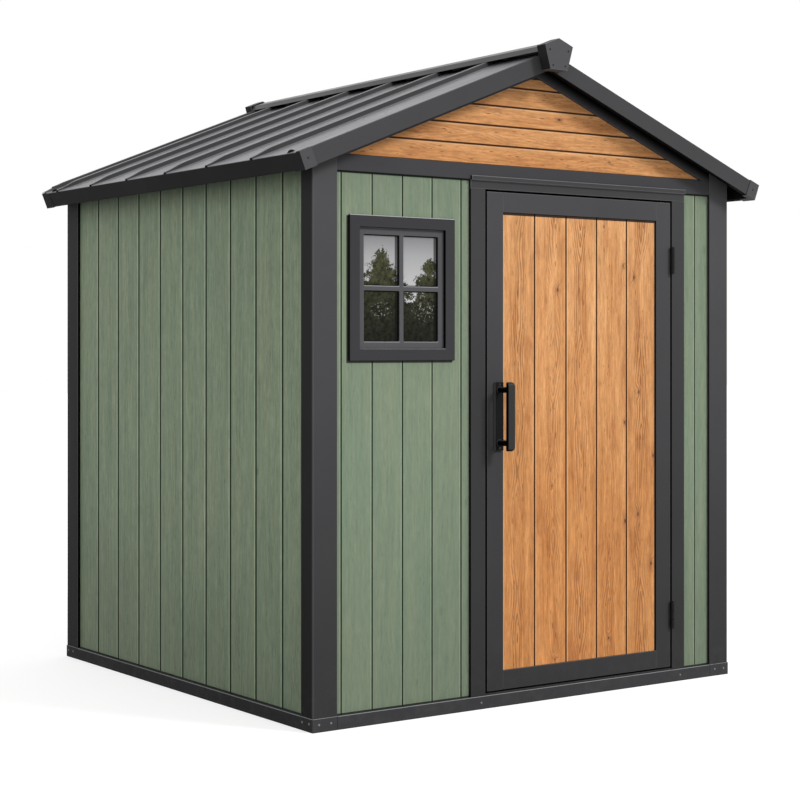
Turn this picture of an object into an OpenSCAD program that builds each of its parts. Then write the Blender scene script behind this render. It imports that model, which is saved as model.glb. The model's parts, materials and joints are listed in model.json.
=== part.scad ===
// Metal garden shed: grooved steel wall panels between folded corner posts, on a
// low base frame, under a ribbed sheet roof with bargeboards, a ridge cap and boxed
// ridge ends. One hinged door with timber-look boards and one fixed window.
// Millimetres. The origin is on the ground at the centre of the base frame,
// X runs to the right, Y to the back and Z up. The door faces -Y.

/* [Base frame] */
// Width of the base frame
base_w = 2000; // [1850:10:2600]
// Depth of the base frame, front to back
base_d = 1954; // [1500:10:2600]
// Height of the base rails
base_h = 48; // [40:1:80]
// How far the base stands out past the posts
base_lip = 2; // [1:1:12]
// Width of a base rail below the floor
rail_w = 60; // [52:1:90]
// Width of a base rail beside the floor
rail_top_w = 38; // [36:1:48]
// Height of the ledge that carries the floor
floor_ledge = 20; // [8:1:24]
// Thickness of the floor panel
floor_t = 22; // [12:1:26]
// Width of a floor bearer
bearer_w = 60; // [40:1:90]
// Number of floor bearers
bearer_n = 5; // [3:2:9]

/* [Corner posts] */
// Width of every post, seen from the front or the back
post_w = 101; // [70:1:110]
// Width of a front post, seen from the side
post_front_side = 76; // [60:1:120]
// Width of a back post, seen from the side
post_back_side = 103; // [60:1:140]
// Size of the small bevel along the outer corner of a post
post_bevel = 3; // [1:0.5:6]

/* [Walls] */
// Height of the wall top, where the gable starts
wall_top = 1993; // [1970:1:2300]
// Thickness of a wall panel
wall_t = 18; // [12:1:24]
// How far the wall panels lie behind the post faces
wall_inset = 12; // [8:1:16]
// Width of one board of the front and back panels
front_board = 130.6; // [90:0.1:200]
// Width of the first, cut board beside the left front post
front_board_first = 24; // [15:1:80]
// Width of one board of the side panels
side_board = 182.2; // [120:0.1:240]
// Width of the first, cut board beside the back posts
side_board_first = 175; // [60:1:240]
// Depth of the grooves between boards
groove_depth = 4; // [2:0.5:6]
// Width of the grooves between wall boards
groove_w = 6; // [3:0.5:10]

/* [Headers and plates] */
// Height of the front and back headers
header_h = 57; // [40:1:80]
// Depth of the headers and gable trims
header_t = 40; // [32:1:60]
// How far headers, trims and door frame lie behind the post faces
frame_inset = 2; // [1:0.5:4]
// Height of the visible face of a side plate below the wall top
plate_drop = 40; // [25:1:60]

/* [Gable] */
// Height of one horizontal gable board
gable_board = 73.3; // [50:0.1:100]
// Thickness of the gable boards
gable_t = 18; // [12:1:24]
// Height of the raking trim, measured straight down from the roof line
gable_trim_drop = 85; // [60:1:110]

/* [Roof] */
// Pitch of the roof in degrees
roof_pitch = 21.8; // [16:0.1:28]
// Height of the roof line over the wall top, at the outer faces of the posts
roof_seat = 27; // [25:1:70]
// Side overhang of the roof past the posts
roof_side_over = 100; // [70:1:160]
// Front overhang of the roof past the posts
roof_front_over = 75; // [40:1:140]
// Back overhang of the roof past the posts
roof_back_over = 30; // [25:1:140]
// Thickness of the roof sheet
sheet_t = 2; // [1:0.5:3]
// Distance from one rib to the next, and from the front edge to the first
rib_pitch = 318; // [220:1:420]
// Height of a rib
rib_h = 17; // [12:1:35]
// Width of the flat top of a rib
rib_top = 26; // [16:1:40]
// Width of a rib where it leaves the sheet
rib_foot = 60; // [50:1:90]
// Gap between the two roof sheets at the ridge, each side
ridge_gap = 6; // [3:1:15]

/* [Bargeboards and eaves] */
// Depth of the bargeboards and eave fascias, square to the roof
barge_h = 63; // [50:1:90]
// Thickness of a bargeboard
barge_t = 22; // [15:1:24]
// Thickness of an eave fascia
fascia_t = 20; // [14:1:30]
// Length of an eave corner cap along the slope
cap_slope = 50; // [34:1:80]
// Length of an eave corner cap along the eave
cap_eave = 62; // [40:1:100]
// How far the eave corner caps stand out past the boards
cap_proud = 2; // [1:0.5:4]

/* [Ridge] */
// Width of the ridge cap along each slope
ridge_wing = 66; // [50:1:110]
// Thickness of the ridge cap
ridge_t = 2; // [1:0.5:4]
// Height of the folded sides of the ridge cap
ridge_side_h = 21; // [10:1:35]
// How far the sides of the ridge cap lean inwards
ridge_side_lean = 10; // [4:1:20]
// Width of a boxed ridge end at its shoulders
ridge_end_w = 134; // [110:1:200]
// Width of a boxed ridge end at its foot
ridge_end_foot = 82; // [60:1:100]
// Depth of a boxed ridge end
ridge_end_d = 50; // [30:1:90]
// How far the boxed ridge end stands over the ridge cap
ridge_end_rise = 7; // [2:1:15]
// How far the boxed ridge end reaches below the bargeboards
ridge_end_drop = 6; // [2:1:20]
// Wall thickness of a boxed ridge end
ridge_end_t = 3; // [2:0.5:5]
// Width of the ridge beam
beam_w = 40; // [30:1:60]
// Height of the ridge beam at its middle
beam_h = 80; // [60:1:120]

/* [Door] */
// Width of the door leaf
leaf_w = 920; // [700:5:1000]
// Height of the door leaf
leaf_h = 1834; // [1750:1:1834]
// Thickness of the door leaf
leaf_t = 40; // [32:1:44]
// Middle of the door, to the right of the middle of the shed
door_x = 222.5; // [150:0.5:240]
// Gap round the door leaf
door_gap = 8; // [6:0.5:10]
// Gap between the sill and the door leaf
door_foot_gap = 7; // [5:0.5:9]
// Width of the door stiles
stile_w = 75; // [70:1:110]
// Height of the top rail of the door
top_rail_h = 73; // [50:1:110]
// Height of the bottom rail of the door
bottom_rail_h = 71; // [50:1:110]
// How far the boards lie behind the faces of the door frame, front and back
infill_inset = 5; // [3:0.5:8]
// Number of boards in the door
door_board_n = 5; // [3:1:8]
// Height of the sill under the door
sill_h = 6; // [4:1:12]

/* [Door frame] */
// Width of a door jamb
jamb_w = 68; // [50:1:75]
// Depth of the door jambs and head
jamb_t = 60; // [54:1:80]
// How far the stops reach into the doorway
stop_w = 16; // [10:1:24]
// Space between the back of the leaf and the stops
stop_gap = 5; // [5:0.5:8]
// Height of the drip strip over the door
drip_h = 17; // [10:1:30]
// How far the drip strip stands out from the header
drip_out = 9; // [5:1:12]
// Fall of the top of the drip strip
drip_fall = 3; // [1:0.5:6]
// How far the drip strip hangs below the header
drip_hang = 2; // [1:0.5:4]

/* [Hinges] */
// Length of a hinge
hinge_l = 106; // [80:1:140]
// Diameter of the hinge barrel
hinge_d = 16; // [12:0.5:18]
// Diameter of the hinge pin
hinge_pin_d = 7; // [5:0.5:8]
// How far the pin axis stands out from the door face
hinge_out = 10; // [9.5:0.5:14]
// Gap between two knuckles
knuckle_gap = 1; // [0.6:0.1:2]
// Height of the middle of the lower hinge
hinge_low = 267; // [150:1:500]
// Height of the middle of the upper hinge
hinge_high = 1667; // [1300:1:1750]
// Thickness of a hinge flap
flap_t = 2.2; // [1.5:0.1:2.5]

/* [Handle] */
// Distance of the handle from the free edge of the door
handle_edge = 50.5; // [30:0.5:55]
// Height of the middle of the handle
handle_z = 1069.5; // [900:0.5:1200]
// Length of the handle
handle_l = 253; // [180:1:320]
// Width of the back plate
handle_plate_w = 38; // [34:1:48]
// Thickness of the back plate
handle_plate_t = 10; // [4:1:14]
// Width of the grip
grip_w = 32; // [24:1:34]
// Thickness of the grip
grip_t = 16; // [12:1:20]
// Distance from the door face to the front of the grip
grip_out = 82; // [60:1:90]
// Rounding of the grip, seen from the side
grip_round = 14; // [6:1:15]
// Rounding of the grip, seen from the front
grip_corner = 8; // [4:1:11]
// Rounding of the back plate
plate_corner = 4; // [2:1:12]
// Diameter of the two grip posts
grip_post_d = 22; // [16:1:24]
// Distance of a grip post from the end of the grip
grip_post_in = 29; // [18:1:50]

/* [Window] */
// Overall width of the window casing
window_w = 458; // [380:1:500]
// Overall height of the window casing
window_h = 511; // [400:1:700]
// Distance from the left front post to the window casing
window_from_post = 53; // [25:1:90]
// Height of the middle of the window
window_z = 1531; // [1300:0.5:1600]
// Width of the casing on the wall
casing_w = 42; // [30:1:50]
// Width of the part of the casing that lines the hole in the wall
lining_w = 22; // [12:1:26]
// How far the casing stands out from the wall
casing_out = 11; // [6:1:16]
// Depth of the whole casing
casing_depth = 50; // [46:1:70]
// How far the sash lies behind the casing face
sash_inset = 12; // [10:1:26]
// Width of the sash bars
sash_w = 25; // [16:1:34]
// Depth of the sash
sash_t = 20; // [14:1:20]
// Width of the crossing bars
bar_w = 18; // [10:1:30]
// Thickness of the glass
glass_t = 4; // [3:0.5:6]

/* [Fit] */
// Clearance between pieces that slip together
fit = 0.3; // [0.2:0.05:0.6]

/* [Hidden] */
steel_grey = "#3a3a3f";
roof_grey = "#4c4d52";
wall_green = "#6f8468";
board_brown = "#b9763c";
inner_grey = "#8c8c88";
glass_tint = "#8fa0a6";
near_black = "#1c1c1e";
cut = 1;    // how far a cutting shape runs past what it cuts
$fn = 48;

// Faces and edges that everything else is placed from
face_x = base_w / 2 - base_lip;        // outer side faces of the posts
face_y = base_d / 2 - base_lip;        // front and back faces of the posts
inner_x = face_x - post_w;             // inner edges of the posts
inner_front = -face_y + post_front_side;
inner_back = face_y - post_back_side;
frame_y = face_y - frame_inset;        // front of headers, trims and door frame
wall_y = face_y - wall_inset;          // outer face of the front panel
wall_x = face_x - wall_inset;          // outer face of the side panels

// Roof line: the upper surface of the roof sheet between its ribs
slope = tan(roof_pitch);
apex_z = wall_top + roof_seat + slope * face_x;
function roof_z(x) = apex_z - slope * abs(x);
under_sheet = (sheet_t + fit) / cos(roof_pitch);
function seat_z(x) = roof_z(x) - under_sheet;
eave_x = face_x + roof_side_over;
roof_front = -face_y - roof_front_over;
roof_back = face_y + roof_back_over;
sheet_front = roof_front + barge_t;
sheet_back = roof_back - barge_t;
slope_l = eave_x / cos(roof_pitch);

// Headers, plates and gables
header_z = wall_top - header_h;
plate_z = wall_top - plate_drop;
gable_edge_z = apex_z - gable_trim_drop;         // lower edge of the trims at the ridge
gable_half_w = min(inner_x, (gable_edge_z - wall_top) / slope);

// Door and doorway
leaf_left = door_x - leaf_w / 2;
leaf_right = door_x + leaf_w / 2;
leaf_z = base_h + sill_h + door_foot_gap;
leaf_top = leaf_z + leaf_h;
leaf_back_y = frame_y - leaf_t;
opening_left = leaf_left - door_gap;
opening_right = leaf_right + door_gap;
opening_top = leaf_top + door_gap;
frame_left = opening_left - jamb_w;
frame_right = opening_right + jamb_w;
stop_y = leaf_back_y - stop_gap;
infill_z = leaf_z + bottom_rail_h;
infill_top = leaf_top - top_rail_h;
infill_w = leaf_w - 2 * stile_w;
infill_left = leaf_left + stile_w;
hinge_x = leaf_right + door_gap / 2;
hinge_y = frame_y + hinge_out;
handle_x = leaf_left + handle_edge;

// Window
window_x = -inner_x + window_from_post + window_w / 2;
casing_y = wall_y + casing_out;
hole_w = window_w - 2 * casing_w + 2 * lining_w;
hole_h = window_h - 2 * casing_w + 2 * lining_w;
pane_w = window_w - 2 * casing_w;
pane_h = window_h - 2 * casing_w;
sash_y = casing_y - sash_inset;

// ---- helpers ---------------------------------------------------------------

// A box between two corners
module block(low, high) {
    translate(low) cube(high - low);
}

// An outline in the X-Z plane, carried along Y from y0 to y1
module along_y(y0, y1) {
    translate([0, y1, 0]) rotate([90, 0, 0]) linear_extrude(y1 - y0) children();
}

// An outline in the Y-Z plane, carried along X from x0 to x1
module along_x(x0, x1) {
    translate([x0, 0, 0]) rotate([90, 0, 90]) linear_extrude(x1 - x0) children();
}

// A rectangle round its middle, with corners rounded by r
module rounded_plate(w, h, r) {
    square([w - 2 * r, h], center = true);
    square([w, h - 2 * r], center = true);
    for (x = [-1, 1], y = [-1, 1])
        translate([x * (w / 2 - r), y * (h / 2 - r)]) circle(r = r);
}

// Places children on one roof slope: local X runs down the slope, Z stands square to it
module on_slope(side) {
    mirror([side < 0 ? 1 : 0, 0, 0])
        translate([0, 0, apex_z]) rotate([0, roof_pitch, 0]) children();
}

// A V groove along Z, cut into a face that looks to -Y at y = 0
module groove_z(z0, z1) {
    translate([0, 0, z0]) linear_extrude(z1 - z0)
        polygon([[-groove_w / 2, -cut], [-groove_w / 2, 0], [0, groove_depth],
                 [groove_w / 2, 0], [groove_w / 2, -cut]]);
}

// Upright boards: a panel that looks to -Y, grooved at each board joint
module boarded_panel(x0, x1, z0, z1, t, joints) {
    difference() {
        block([x0, 0, z0], [x1, t, z1]);
        for (x = joints)
            if (x > x0 + groove_w && x < x1 - groove_w)
                translate([x, 0, 0]) groove_z(z0 - cut, z1 + cut);
    }
}

// ---- base ------------------------------------------------------------------

// Cross-section of a base rail, outer face at 0, with a ledge for the floor
module rail_section() {
    polygon([[0, 0], [rail_w, 0], [rail_w, floor_ledge], [rail_top_w, floor_ledge],
             [rail_top_w, base_h], [0, base_h]]);
}

module base_rail_across(y) {
    color(steel_grey)
        translate([inner_x, y, 0]) rotate([90, 0, -90]) linear_extrude(2 * inner_x)
            rail_section();
}

module base_rail_along(x) {
    color(steel_grey)
        translate([x, inner_back, 0]) rotate([90, 0, 0])
            linear_extrude(inner_back - inner_front) rail_section();
}

module base_rail_front() { mirror([0, 1, 0]) base_rail_across(base_d / 2); }
module base_rail_back() { base_rail_across(base_d / 2); }
module base_rail_left() { base_rail_along(-base_w / 2); }
module base_rail_right() { mirror([1, 0, 0]) base_rail_along(-base_w / 2); }

// The block under each post, stepped back where the floor lies on the ledge
module base_corners() {
    color(steel_grey) difference() {
        for (side = [-1, 1]) {
            block([side < 0 ? -base_w / 2 : inner_x, -base_d / 2, 0],
                  [side < 0 ? -inner_x : base_w / 2, inner_front, base_h]);
            block([side < 0 ? -base_w / 2 : inner_x, inner_back, 0],
                  [side < 0 ? -inner_x : base_w / 2, base_d / 2, base_h]);
        }
        block([-base_w / 2 + rail_top_w, -base_d / 2 + rail_top_w, floor_ledge],
              [base_w / 2 - rail_top_w, base_d / 2 - rail_top_w, base_h + cut]);
        block([-base_w / 2 + rail_w, -base_d / 2 + rail_w, -cut],
              [base_w / 2 - rail_w, base_d / 2 - rail_w, base_h + cut]);
    }
}

// Flat bearers on the ground that carry the floor between the rails
module floor_bearers() {
    pitch = (base_w - 2 * rail_w) / (bearer_n + 1);
    half_l = base_d / 2 - rail_w;
    color(steel_grey)
        for (i = [1 : bearer_n])
            translate([-base_w / 2 + rail_w + i * pitch, 0, 0])
                block([-bearer_w / 2, -half_l, 0], [bearer_w / 2, half_l, floor_ledge]);
}

module floor_panel() {
    edge = rail_top_w + fit;
    color(inner_grey)
        block([-base_w / 2 + edge, -base_d / 2 + edge, floor_ledge],
              [base_w / 2 - edge, base_d / 2 - edge, floor_ledge + floor_t]);
}

// ---- posts and walls ---------------------------------------------------------

// A corner post from the base to the roof, its top cut to the slope
module post(side, y0, y1, front) {
    bevel_y = front ? y0 : y1;
    color(steel_grey) mirror([side < 0 ? 1 : 0, 0, 0]) difference() {
        along_y(y0, y1)
            polygon([[inner_x, base_h], [face_x, base_h], [face_x, seat_z(face_x)],
                     [inner_x, seat_z(inner_x)]]);
        translate([face_x, bevel_y, base_h - cut]) rotate([0, 0, 45])
            translate([-post_bevel / sqrt(2), -post_bevel / sqrt(2), 0])
                cube([post_bevel * sqrt(2), post_bevel * sqrt(2), apex_z]);
    }
}

module post_front_left() { post(-1, -face_y, inner_front, true); }
module post_front_right() { post(1, -face_y, inner_front, true); }
module post_back_left() { post(-1, inner_back, face_y, false); }
module post_back_right() { post(1, inner_back, face_y, false); }

// A side panel, boards counted from the back post
module side_wall(side) {
    run = inner_back - inner_front;
    color(wall_green) mirror([side > 0 ? 1 : 0, 0, 0])
        translate([-wall_x, inner_back, 0]) rotate([0, 0, -90])
            boarded_panel(0, run, base_h, plate_z, wall_t,
                          [for (x = [side_board_first : side_board : run]) x]);
}

module wall_left() { side_wall(-1); }
module wall_right() { side_wall(1); }

front_joints = [for (x = [-inner_x + front_board_first : front_board : inner_x]) x];

module wall_back() {
    color(wall_green) mirror([0, 1, 0]) translate([0, -wall_y, 0])
        boarded_panel(-inner_x, inner_x, base_h, header_z, wall_t, front_joints);
}

module wall_front_left() {
    color(wall_green) difference() {
        translate([0, -wall_y, 0])
            boarded_panel(-inner_x, frame_left, base_h, header_z, wall_t, front_joints);
        block([window_x - hole_w / 2, -wall_y - cut, window_z - hole_h / 2],
              [window_x + hole_w / 2, -wall_y + wall_t + cut, window_z + hole_h / 2]);
    }
}

module wall_front_right() {
    color(wall_green) translate([0, -wall_y, 0])
        boarded_panel(frame_right, inner_x, base_h, header_z, wall_t, []);
}

// ---- headers, plates and gables ---------------------------------------------

module header(back) {
    color(steel_grey) mirror([0, back ? 1 : 0, 0])
        block([-inner_x, -frame_y, header_z], [inner_x, -frame_y + header_t, wall_top]);
}

module header_front() { header(false); }
module header_back() { header(true); }

// A side plate between the posts, its top cut to carry the roof sheet
module plate(side) {
    outer = face_x - frame_inset;
    color(steel_grey) mirror([side < 0 ? 1 : 0, 0, 0])
        along_y(inner_front, inner_back)
            polygon([[outer - header_t, plate_z], [outer, plate_z],
                     [outer, seat_z(outer)], [outer - header_t, seat_z(outer - header_t)]]);
}

module side_plates() {
    plate(-1);
    plate(1);
}

// Level boards that fill the gable inside the raking trims
module gable(back) {
    color(board_brown) mirror([0, back ? 1 : 0, 0]) difference() {
        along_y(-wall_y, -wall_y + gable_t)
            polygon([[-gable_half_w, wall_top], [gable_half_w, wall_top],
                     [0, wall_top + gable_half_w * slope]]);
        for (z = [wall_top + gable_board : gable_board : gable_edge_z - gable_board / 2])
            translate([0, -wall_y, z]) rotate([0, 90, 0])
                groove_z(-inner_x, inner_x);
    }
}

module gable_front() { gable(false); }
module gable_back() { gable(true); }

// Raking trims on both slopes, mitred into one piece at the ridge
module gable_trim(back) {
    foot_z = gable_half_w < inner_x ? wall_top : gable_edge_z - slope * inner_x;
    color(steel_grey) mirror([0, back ? 1 : 0, 0])
        along_y(-frame_y, -frame_y + header_t)
            polygon([[-inner_x, seat_z(inner_x)], [-inner_x, foot_z],
                     [-gable_half_w, wall_top], [0, wall_top + gable_half_w * slope],
                     [gable_half_w, wall_top], [inner_x, foot_z],
                     [inner_x, seat_z(inner_x)], [0, seat_z(0)]]);
}

module gable_trim_front() { gable_trim(false); }
module gable_trim_back() { gable_trim(true); }

// ---- door frame ----------------------------------------------------------------

// A jamb on the left of the doorway, with the stop that the leaf closes against
module jamb() {
    color(steel_grey) {
        translate([-jamb_w, 0, base_h])
            linear_extrude(opening_top - base_h)
                polygon([[0, -frame_y], [jamb_w, -frame_y], [jamb_w, -stop_y],
                         [jamb_w + stop_w, -stop_y], [jamb_w + stop_w, -frame_y + jamb_t],
                         [0, -frame_y + jamb_t]]);
    }
}

module door_jambs() {
    translate([opening_left, 0, 0]) jamb();
    translate([opening_right, 0, 0]) mirror([1, 0, 0]) jamb();
}

// The head over both jambs, with its drip strip lapped over the header
module door_head() {
    color(steel_grey) {
        along_x(frame_left, frame_right)
            polygon([[-frame_y, opening_top], [-frame_y + jamb_t, opening_top],
                     [-frame_y + jamb_t, header_z], [-frame_y, header_z],
                     [-frame_y, header_z + drip_h],
                     [-frame_y - drip_out, header_z + drip_h - drip_fall],
                     [-frame_y - drip_out, header_z - drip_hang],
                     [-frame_y, header_z - drip_hang]]);
    }
}

module door_sill() {
    color(steel_grey)
        block([opening_left, -frame_y, base_h],
              [opening_right, -base_d / 2 + rail_top_w, base_h + sill_h]);
}

// ---- window --------------------------------------------------------------------

// A rectangular ring in the X-Z plane round the middle of the window
module window_ring(w, h, bar) {
    translate([window_x, window_z]) difference() {
        square([w, h], center = true);
        square([w - 2 * bar, h - 2 * bar], center = true);
    }
}

// The casing: a flange on the wall and a lining through the hole
module window_casing() {
    color(steel_grey) {
        along_y(-casing_y, -wall_y) window_ring(window_w, window_h, casing_w);
        along_y(-wall_y, -casing_y + casing_depth)
            window_ring(hole_w - 2 * fit, hole_h - 2 * fit, lining_w - fit);
    }
}

// The sash with its crossing bars
module window_sash() {
    w = pane_w - 2 * fit;
    h = pane_h - 2 * fit;
    color(steel_grey) {
        along_y(-sash_y, -sash_y + sash_t) window_ring(w, h, sash_w);
        along_y(-sash_y, -sash_y + sash_t / 2 - glass_t / 2)
            translate([window_x, window_z]) {
                square([bar_w, h - sash_w], center = true);
                square([w - sash_w, bar_w], center = true);
            }
    }
}

module window_glass() {
    y = -sash_y + sash_t / 2;
    color(glass_tint)
        block([window_x - pane_w / 2 + sash_w + fit, y - glass_t / 2,
               window_z - pane_h / 2 + sash_w + fit],
              [window_x + pane_w / 2 - sash_w - fit, y + glass_t / 2,
               window_z + pane_h / 2 - sash_w - fit]);
}

// ---- roof ------------------------------------------------------------------------

rib_side = (rib_foot - rib_top) / 2;
rib_lean = atan2(rib_h, rib_side);
rib_inner = sheet_t * tan(rib_lean / 2);   // how far the inner fold lies inside the outer
verge_top = sheet_back - fit - rib_inner;  // the back edge is folded up over the bargeboard
verge_foot = verge_top - rib_side;
rib_places = [for (y = [roof_front + rib_pitch : rib_pitch : verge_foot - rib_foot]) y];

// One rib of the sheet's section, drawn from its low to its high Y
function rib_points(y, drop, shrink) = [
    [y - rib_foot / 2 + shrink, -drop], [y - rib_top / 2 + shrink, rib_h - drop],
    [y + rib_top / 2 - shrink, rib_h - drop], [y + rib_foot / 2 - shrink, -drop]];

function sheet_line(drop, shrink) = concat(
    [[sheet_front + fit, -drop]],
    [for (y = rib_places) each rib_points(y, drop, shrink)],
    [[verge_foot + shrink, -drop], [verge_top + shrink, rib_h - drop], [roof_back, rib_h - drop]]);

function reversed(list) = [for (i = [len(list) - 1 : -1 : 0]) list[i]];

// A folded roof sheet: flat pans and hollow ribs, open at the eave and the ridge, with
// its back edge folded up and over the back bargeboard
module roof_sheet(side) {
    color(roof_grey) on_slope(side)
        translate([ridge_gap, 0, 0]) rotate([90, 0, 90])
            linear_extrude(slope_l - ridge_gap)
                polygon(concat(sheet_line(0, 0), reversed(sheet_line(sheet_t, rib_inner))));
}

module roof_left() { roof_sheet(-1); }
module roof_right() { roof_sheet(1); }

// The beam that carries the sheets along the ridge, between the gable trims
module ridge_beam() {
    color(steel_grey) along_y(-frame_y + header_t, frame_y - header_t)
        polygon([[-beam_w / 2, apex_z - beam_h], [beam_w / 2, apex_z - beam_h],
                 [beam_w / 2, seat_z(beam_w / 2)], [0, seat_z(0)],
                 [-beam_w / 2, seat_z(beam_w / 2)]]);
}

// Height of a line that lies a given distance square above the roof line
function above_roof(x, lift) = roof_z(x) + lift / cos(roof_pitch);

wing_x = ridge_wing * cos(roof_pitch);
ridge_foot_t = ridge_t / cos(atan2(ridge_side_lean, ridge_side_h)); // a leaning side, cut level
ridge_fold_x = wing_x - ridge_side_lean;
ridge_fold_z = above_roof(wing_x - ridge_foot_t, rib_h + fit) + ridge_side_h;
ridge_cap_top = ridge_fold_z + slope * ridge_fold_x;

// Outline of the ridge cap, with its leaning sides carried down by a given length
module ridge_cap_outline(more) {
    foot_x = wing_x + more * ridge_side_lean / ridge_side_h;
    foot_z = ridge_fold_z - ridge_side_h - more;
    polygon([[-foot_x, foot_z], [foot_x, foot_z], [ridge_fold_x, ridge_fold_z],
             [0, ridge_cap_top], [-ridge_fold_x, ridge_fold_z]]);
}

// The folded ridge cap, whose sides rest on the ribs
module ridge_cap() {
    color(roof_grey) along_y(roof_front, roof_back) difference() {
        ridge_cap_outline(0);
        offset(delta = -ridge_t) ridge_cap_outline(ridge_t + cut);
    }
}

ridge_end_top = ridge_cap_top + ridge_end_rise;
ridge_end_low = apex_z - barge_h / cos(roof_pitch) - ridge_end_drop;
ridge_end_shoulder = ridge_end_top - slope * ridge_end_w / 2;

// Outline of a boxed ridge end, drawn in by a wall thickness
module ridge_end_outline(inset) {
    offset(delta = -inset)
        polygon([[-ridge_end_foot / 2, ridge_end_low], [ridge_end_foot / 2, ridge_end_low],
                 [ridge_end_w / 2, ridge_end_shoulder], [0, ridge_end_top],
                 [-ridge_end_w / 2, ridge_end_shoulder]]);
}

// A five-sided box that closes the ridge, open towards the roof
module ridge_end(back) {
    y0 = back ? -roof_back - ridge_end_d : roof_front - ridge_end_d;
    y1 = back ? -roof_back : roof_front;
    color(steel_grey) mirror([0, back ? 1 : 0, 0]) difference() {
        along_y(y0, y1) ridge_end_outline(0);
        along_y(y0 + ridge_end_t, y1 + cut) ridge_end_outline(ridge_end_t);
    }
}

module ridge_ends() {
    ridge_end(false);
    ridge_end(true);
}

// A point on or under one slope: s along the slope from the ridge, n square to it
function slope_xz(s, n) = [s * cos(roof_pitch) + n * sin(roof_pitch),
                           apex_z - s * sin(roof_pitch) + n * cos(roof_pitch)];

// A bargeboard from the ridge to the eave corner cap, its top a given lift over the pans
module bargeboard(side, y0, lift) {
    end = slope_l - cap_slope;
    color(steel_grey) mirror([side < 0 ? 1 : 0, 0, 0]) along_y(y0, y0 + barge_t)
        polygon([[0, apex_z + lift / cos(roof_pitch)], slope_xz(end, lift),
                 slope_xz(end, -barge_h), [0, apex_z - barge_h / cos(roof_pitch)]]);
}

back_barge_lift = rib_h - sheet_t - fit;
module barge_front_left() { bargeboard(-1, roof_front, 0); }
module barge_front_right() { bargeboard(1, roof_front, 0); }
module barge_back_left() { bargeboard(-1, sheet_back, back_barge_lift); }
module barge_back_right() { bargeboard(1, sheet_back, back_barge_lift); }

// The eave fascia hangs square to the slope, under the edge of the sheet
module eave_fascia(side) {
    color(steel_grey) mirror([side < 0 ? 1 : 0, 0, 0])
        along_y(roof_front + cap_eave, roof_back - cap_eave)
            polygon([slope_xz(slope_l - fascia_t, -sheet_t - fit), slope_xz(slope_l, -sheet_t - fit),
                     slope_xz(slope_l, -barge_h), slope_xz(slope_l - fascia_t, -barge_h)]);
}

module eave_fascias() {
    eave_fascia(-1);
    eave_fascia(1);
}

// A cap over the corner of bargeboard and fascia
module eave_corner_cap(side, back) {
    front = back ? -roof_back : roof_front;
    mirror([side < 0 ? 1 : 0, 0, 0]) mirror([0, back ? 1 : 0, 0]) {
        along_y(front - cap_proud, front + barge_t)
            polygon([slope_xz(slope_l - cap_slope, cap_proud),
                     slope_xz(slope_l + cap_proud, cap_proud),
                     slope_xz(slope_l + cap_proud, -barge_h - cap_proud),
                     slope_xz(slope_l - cap_slope, -barge_h - cap_proud)]);
        along_y(front + barge_t, front + cap_eave)
            polygon([slope_xz(slope_l - fascia_t, -sheet_t - fit),
                     slope_xz(slope_l + cap_proud, -sheet_t - fit),
                     slope_xz(slope_l + cap_proud, -barge_h - cap_proud),
                     slope_xz(slope_l - fascia_t, -barge_h - cap_proud)]);
    }
}

module eave_corner_caps() {
    color(steel_grey)
        for (side = [-1, 1], back = [false, true]) eave_corner_cap(side, back);
}

// ---- hinges ----------------------------------------------------------------------

knuckle_l = (hinge_l - 2 * knuckle_gap) / 3;

// Height where knuckle i of a hinge starts
function knuckle_z(mid, i) = mid - hinge_l / 2 + i * (knuckle_l + knuckle_gap);

// The frame side of both hinges: outer knuckles, pin and flap on the jamb
module hinge_frame_side() {
    edge = opening_right - hinge_x;
    color(near_black) for (mid = [hinge_low, hinge_high]) {
        translate([hinge_x, -hinge_y, mid - hinge_l / 2]) cylinder(d = hinge_pin_d, h = hinge_l);
        for (i = [0, 2])
            translate([hinge_x, -hinge_y, knuckle_z(mid, i)]) {
                cylinder(d = hinge_d, h = knuckle_l);
                block([edge - flap_t, 0, 0], [edge, hinge_out + leaf_t, knuckle_l]);
            }
    }
}

// The door side: the middle knuckle bored for the pin, with its flap on the leaf
module hinge_door_side() {
    color(near_black) for (mid = [hinge_low, hinge_high])
        translate([hinge_x, -hinge_y, knuckle_z(mid, 1)]) difference() {
            union() {
                cylinder(d = hinge_d, h = knuckle_l);
                block([leaf_right - hinge_x, 0, 0],
                      [leaf_right - hinge_x + flap_t, hinge_out + leaf_t, knuckle_l]);
            }
            translate([0, 0, -cut])
                cylinder(d = hinge_pin_d + 2 * fit, h = knuckle_l + 2 * cut);
        }
}

// ---- door ------------------------------------------------------------------------

module door_stiles() {
    color(steel_grey) for (x = [leaf_left, leaf_right - stile_w])
        block([x, -frame_y, leaf_z], [x + stile_w, -leaf_back_y, leaf_top]);
}

module door_rails() {
    color(steel_grey) {
        block([infill_left, -frame_y, leaf_z], [infill_left + infill_w, -leaf_back_y, infill_z]);
        block([infill_left, -frame_y, infill_top], [infill_left + infill_w, -leaf_back_y, leaf_top]);
    }
}

// Upright boards between the stiles, grooved on the outside
module door_boards() {
    color(board_brown) translate([infill_left, -frame_y + infill_inset, 0])
        boarded_panel(0, infill_w, infill_z, infill_top, leaf_t - 2 * infill_inset,
                      [for (i = [1 : door_board_n - 1]) i * infill_w / door_board_n]);
}

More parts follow.
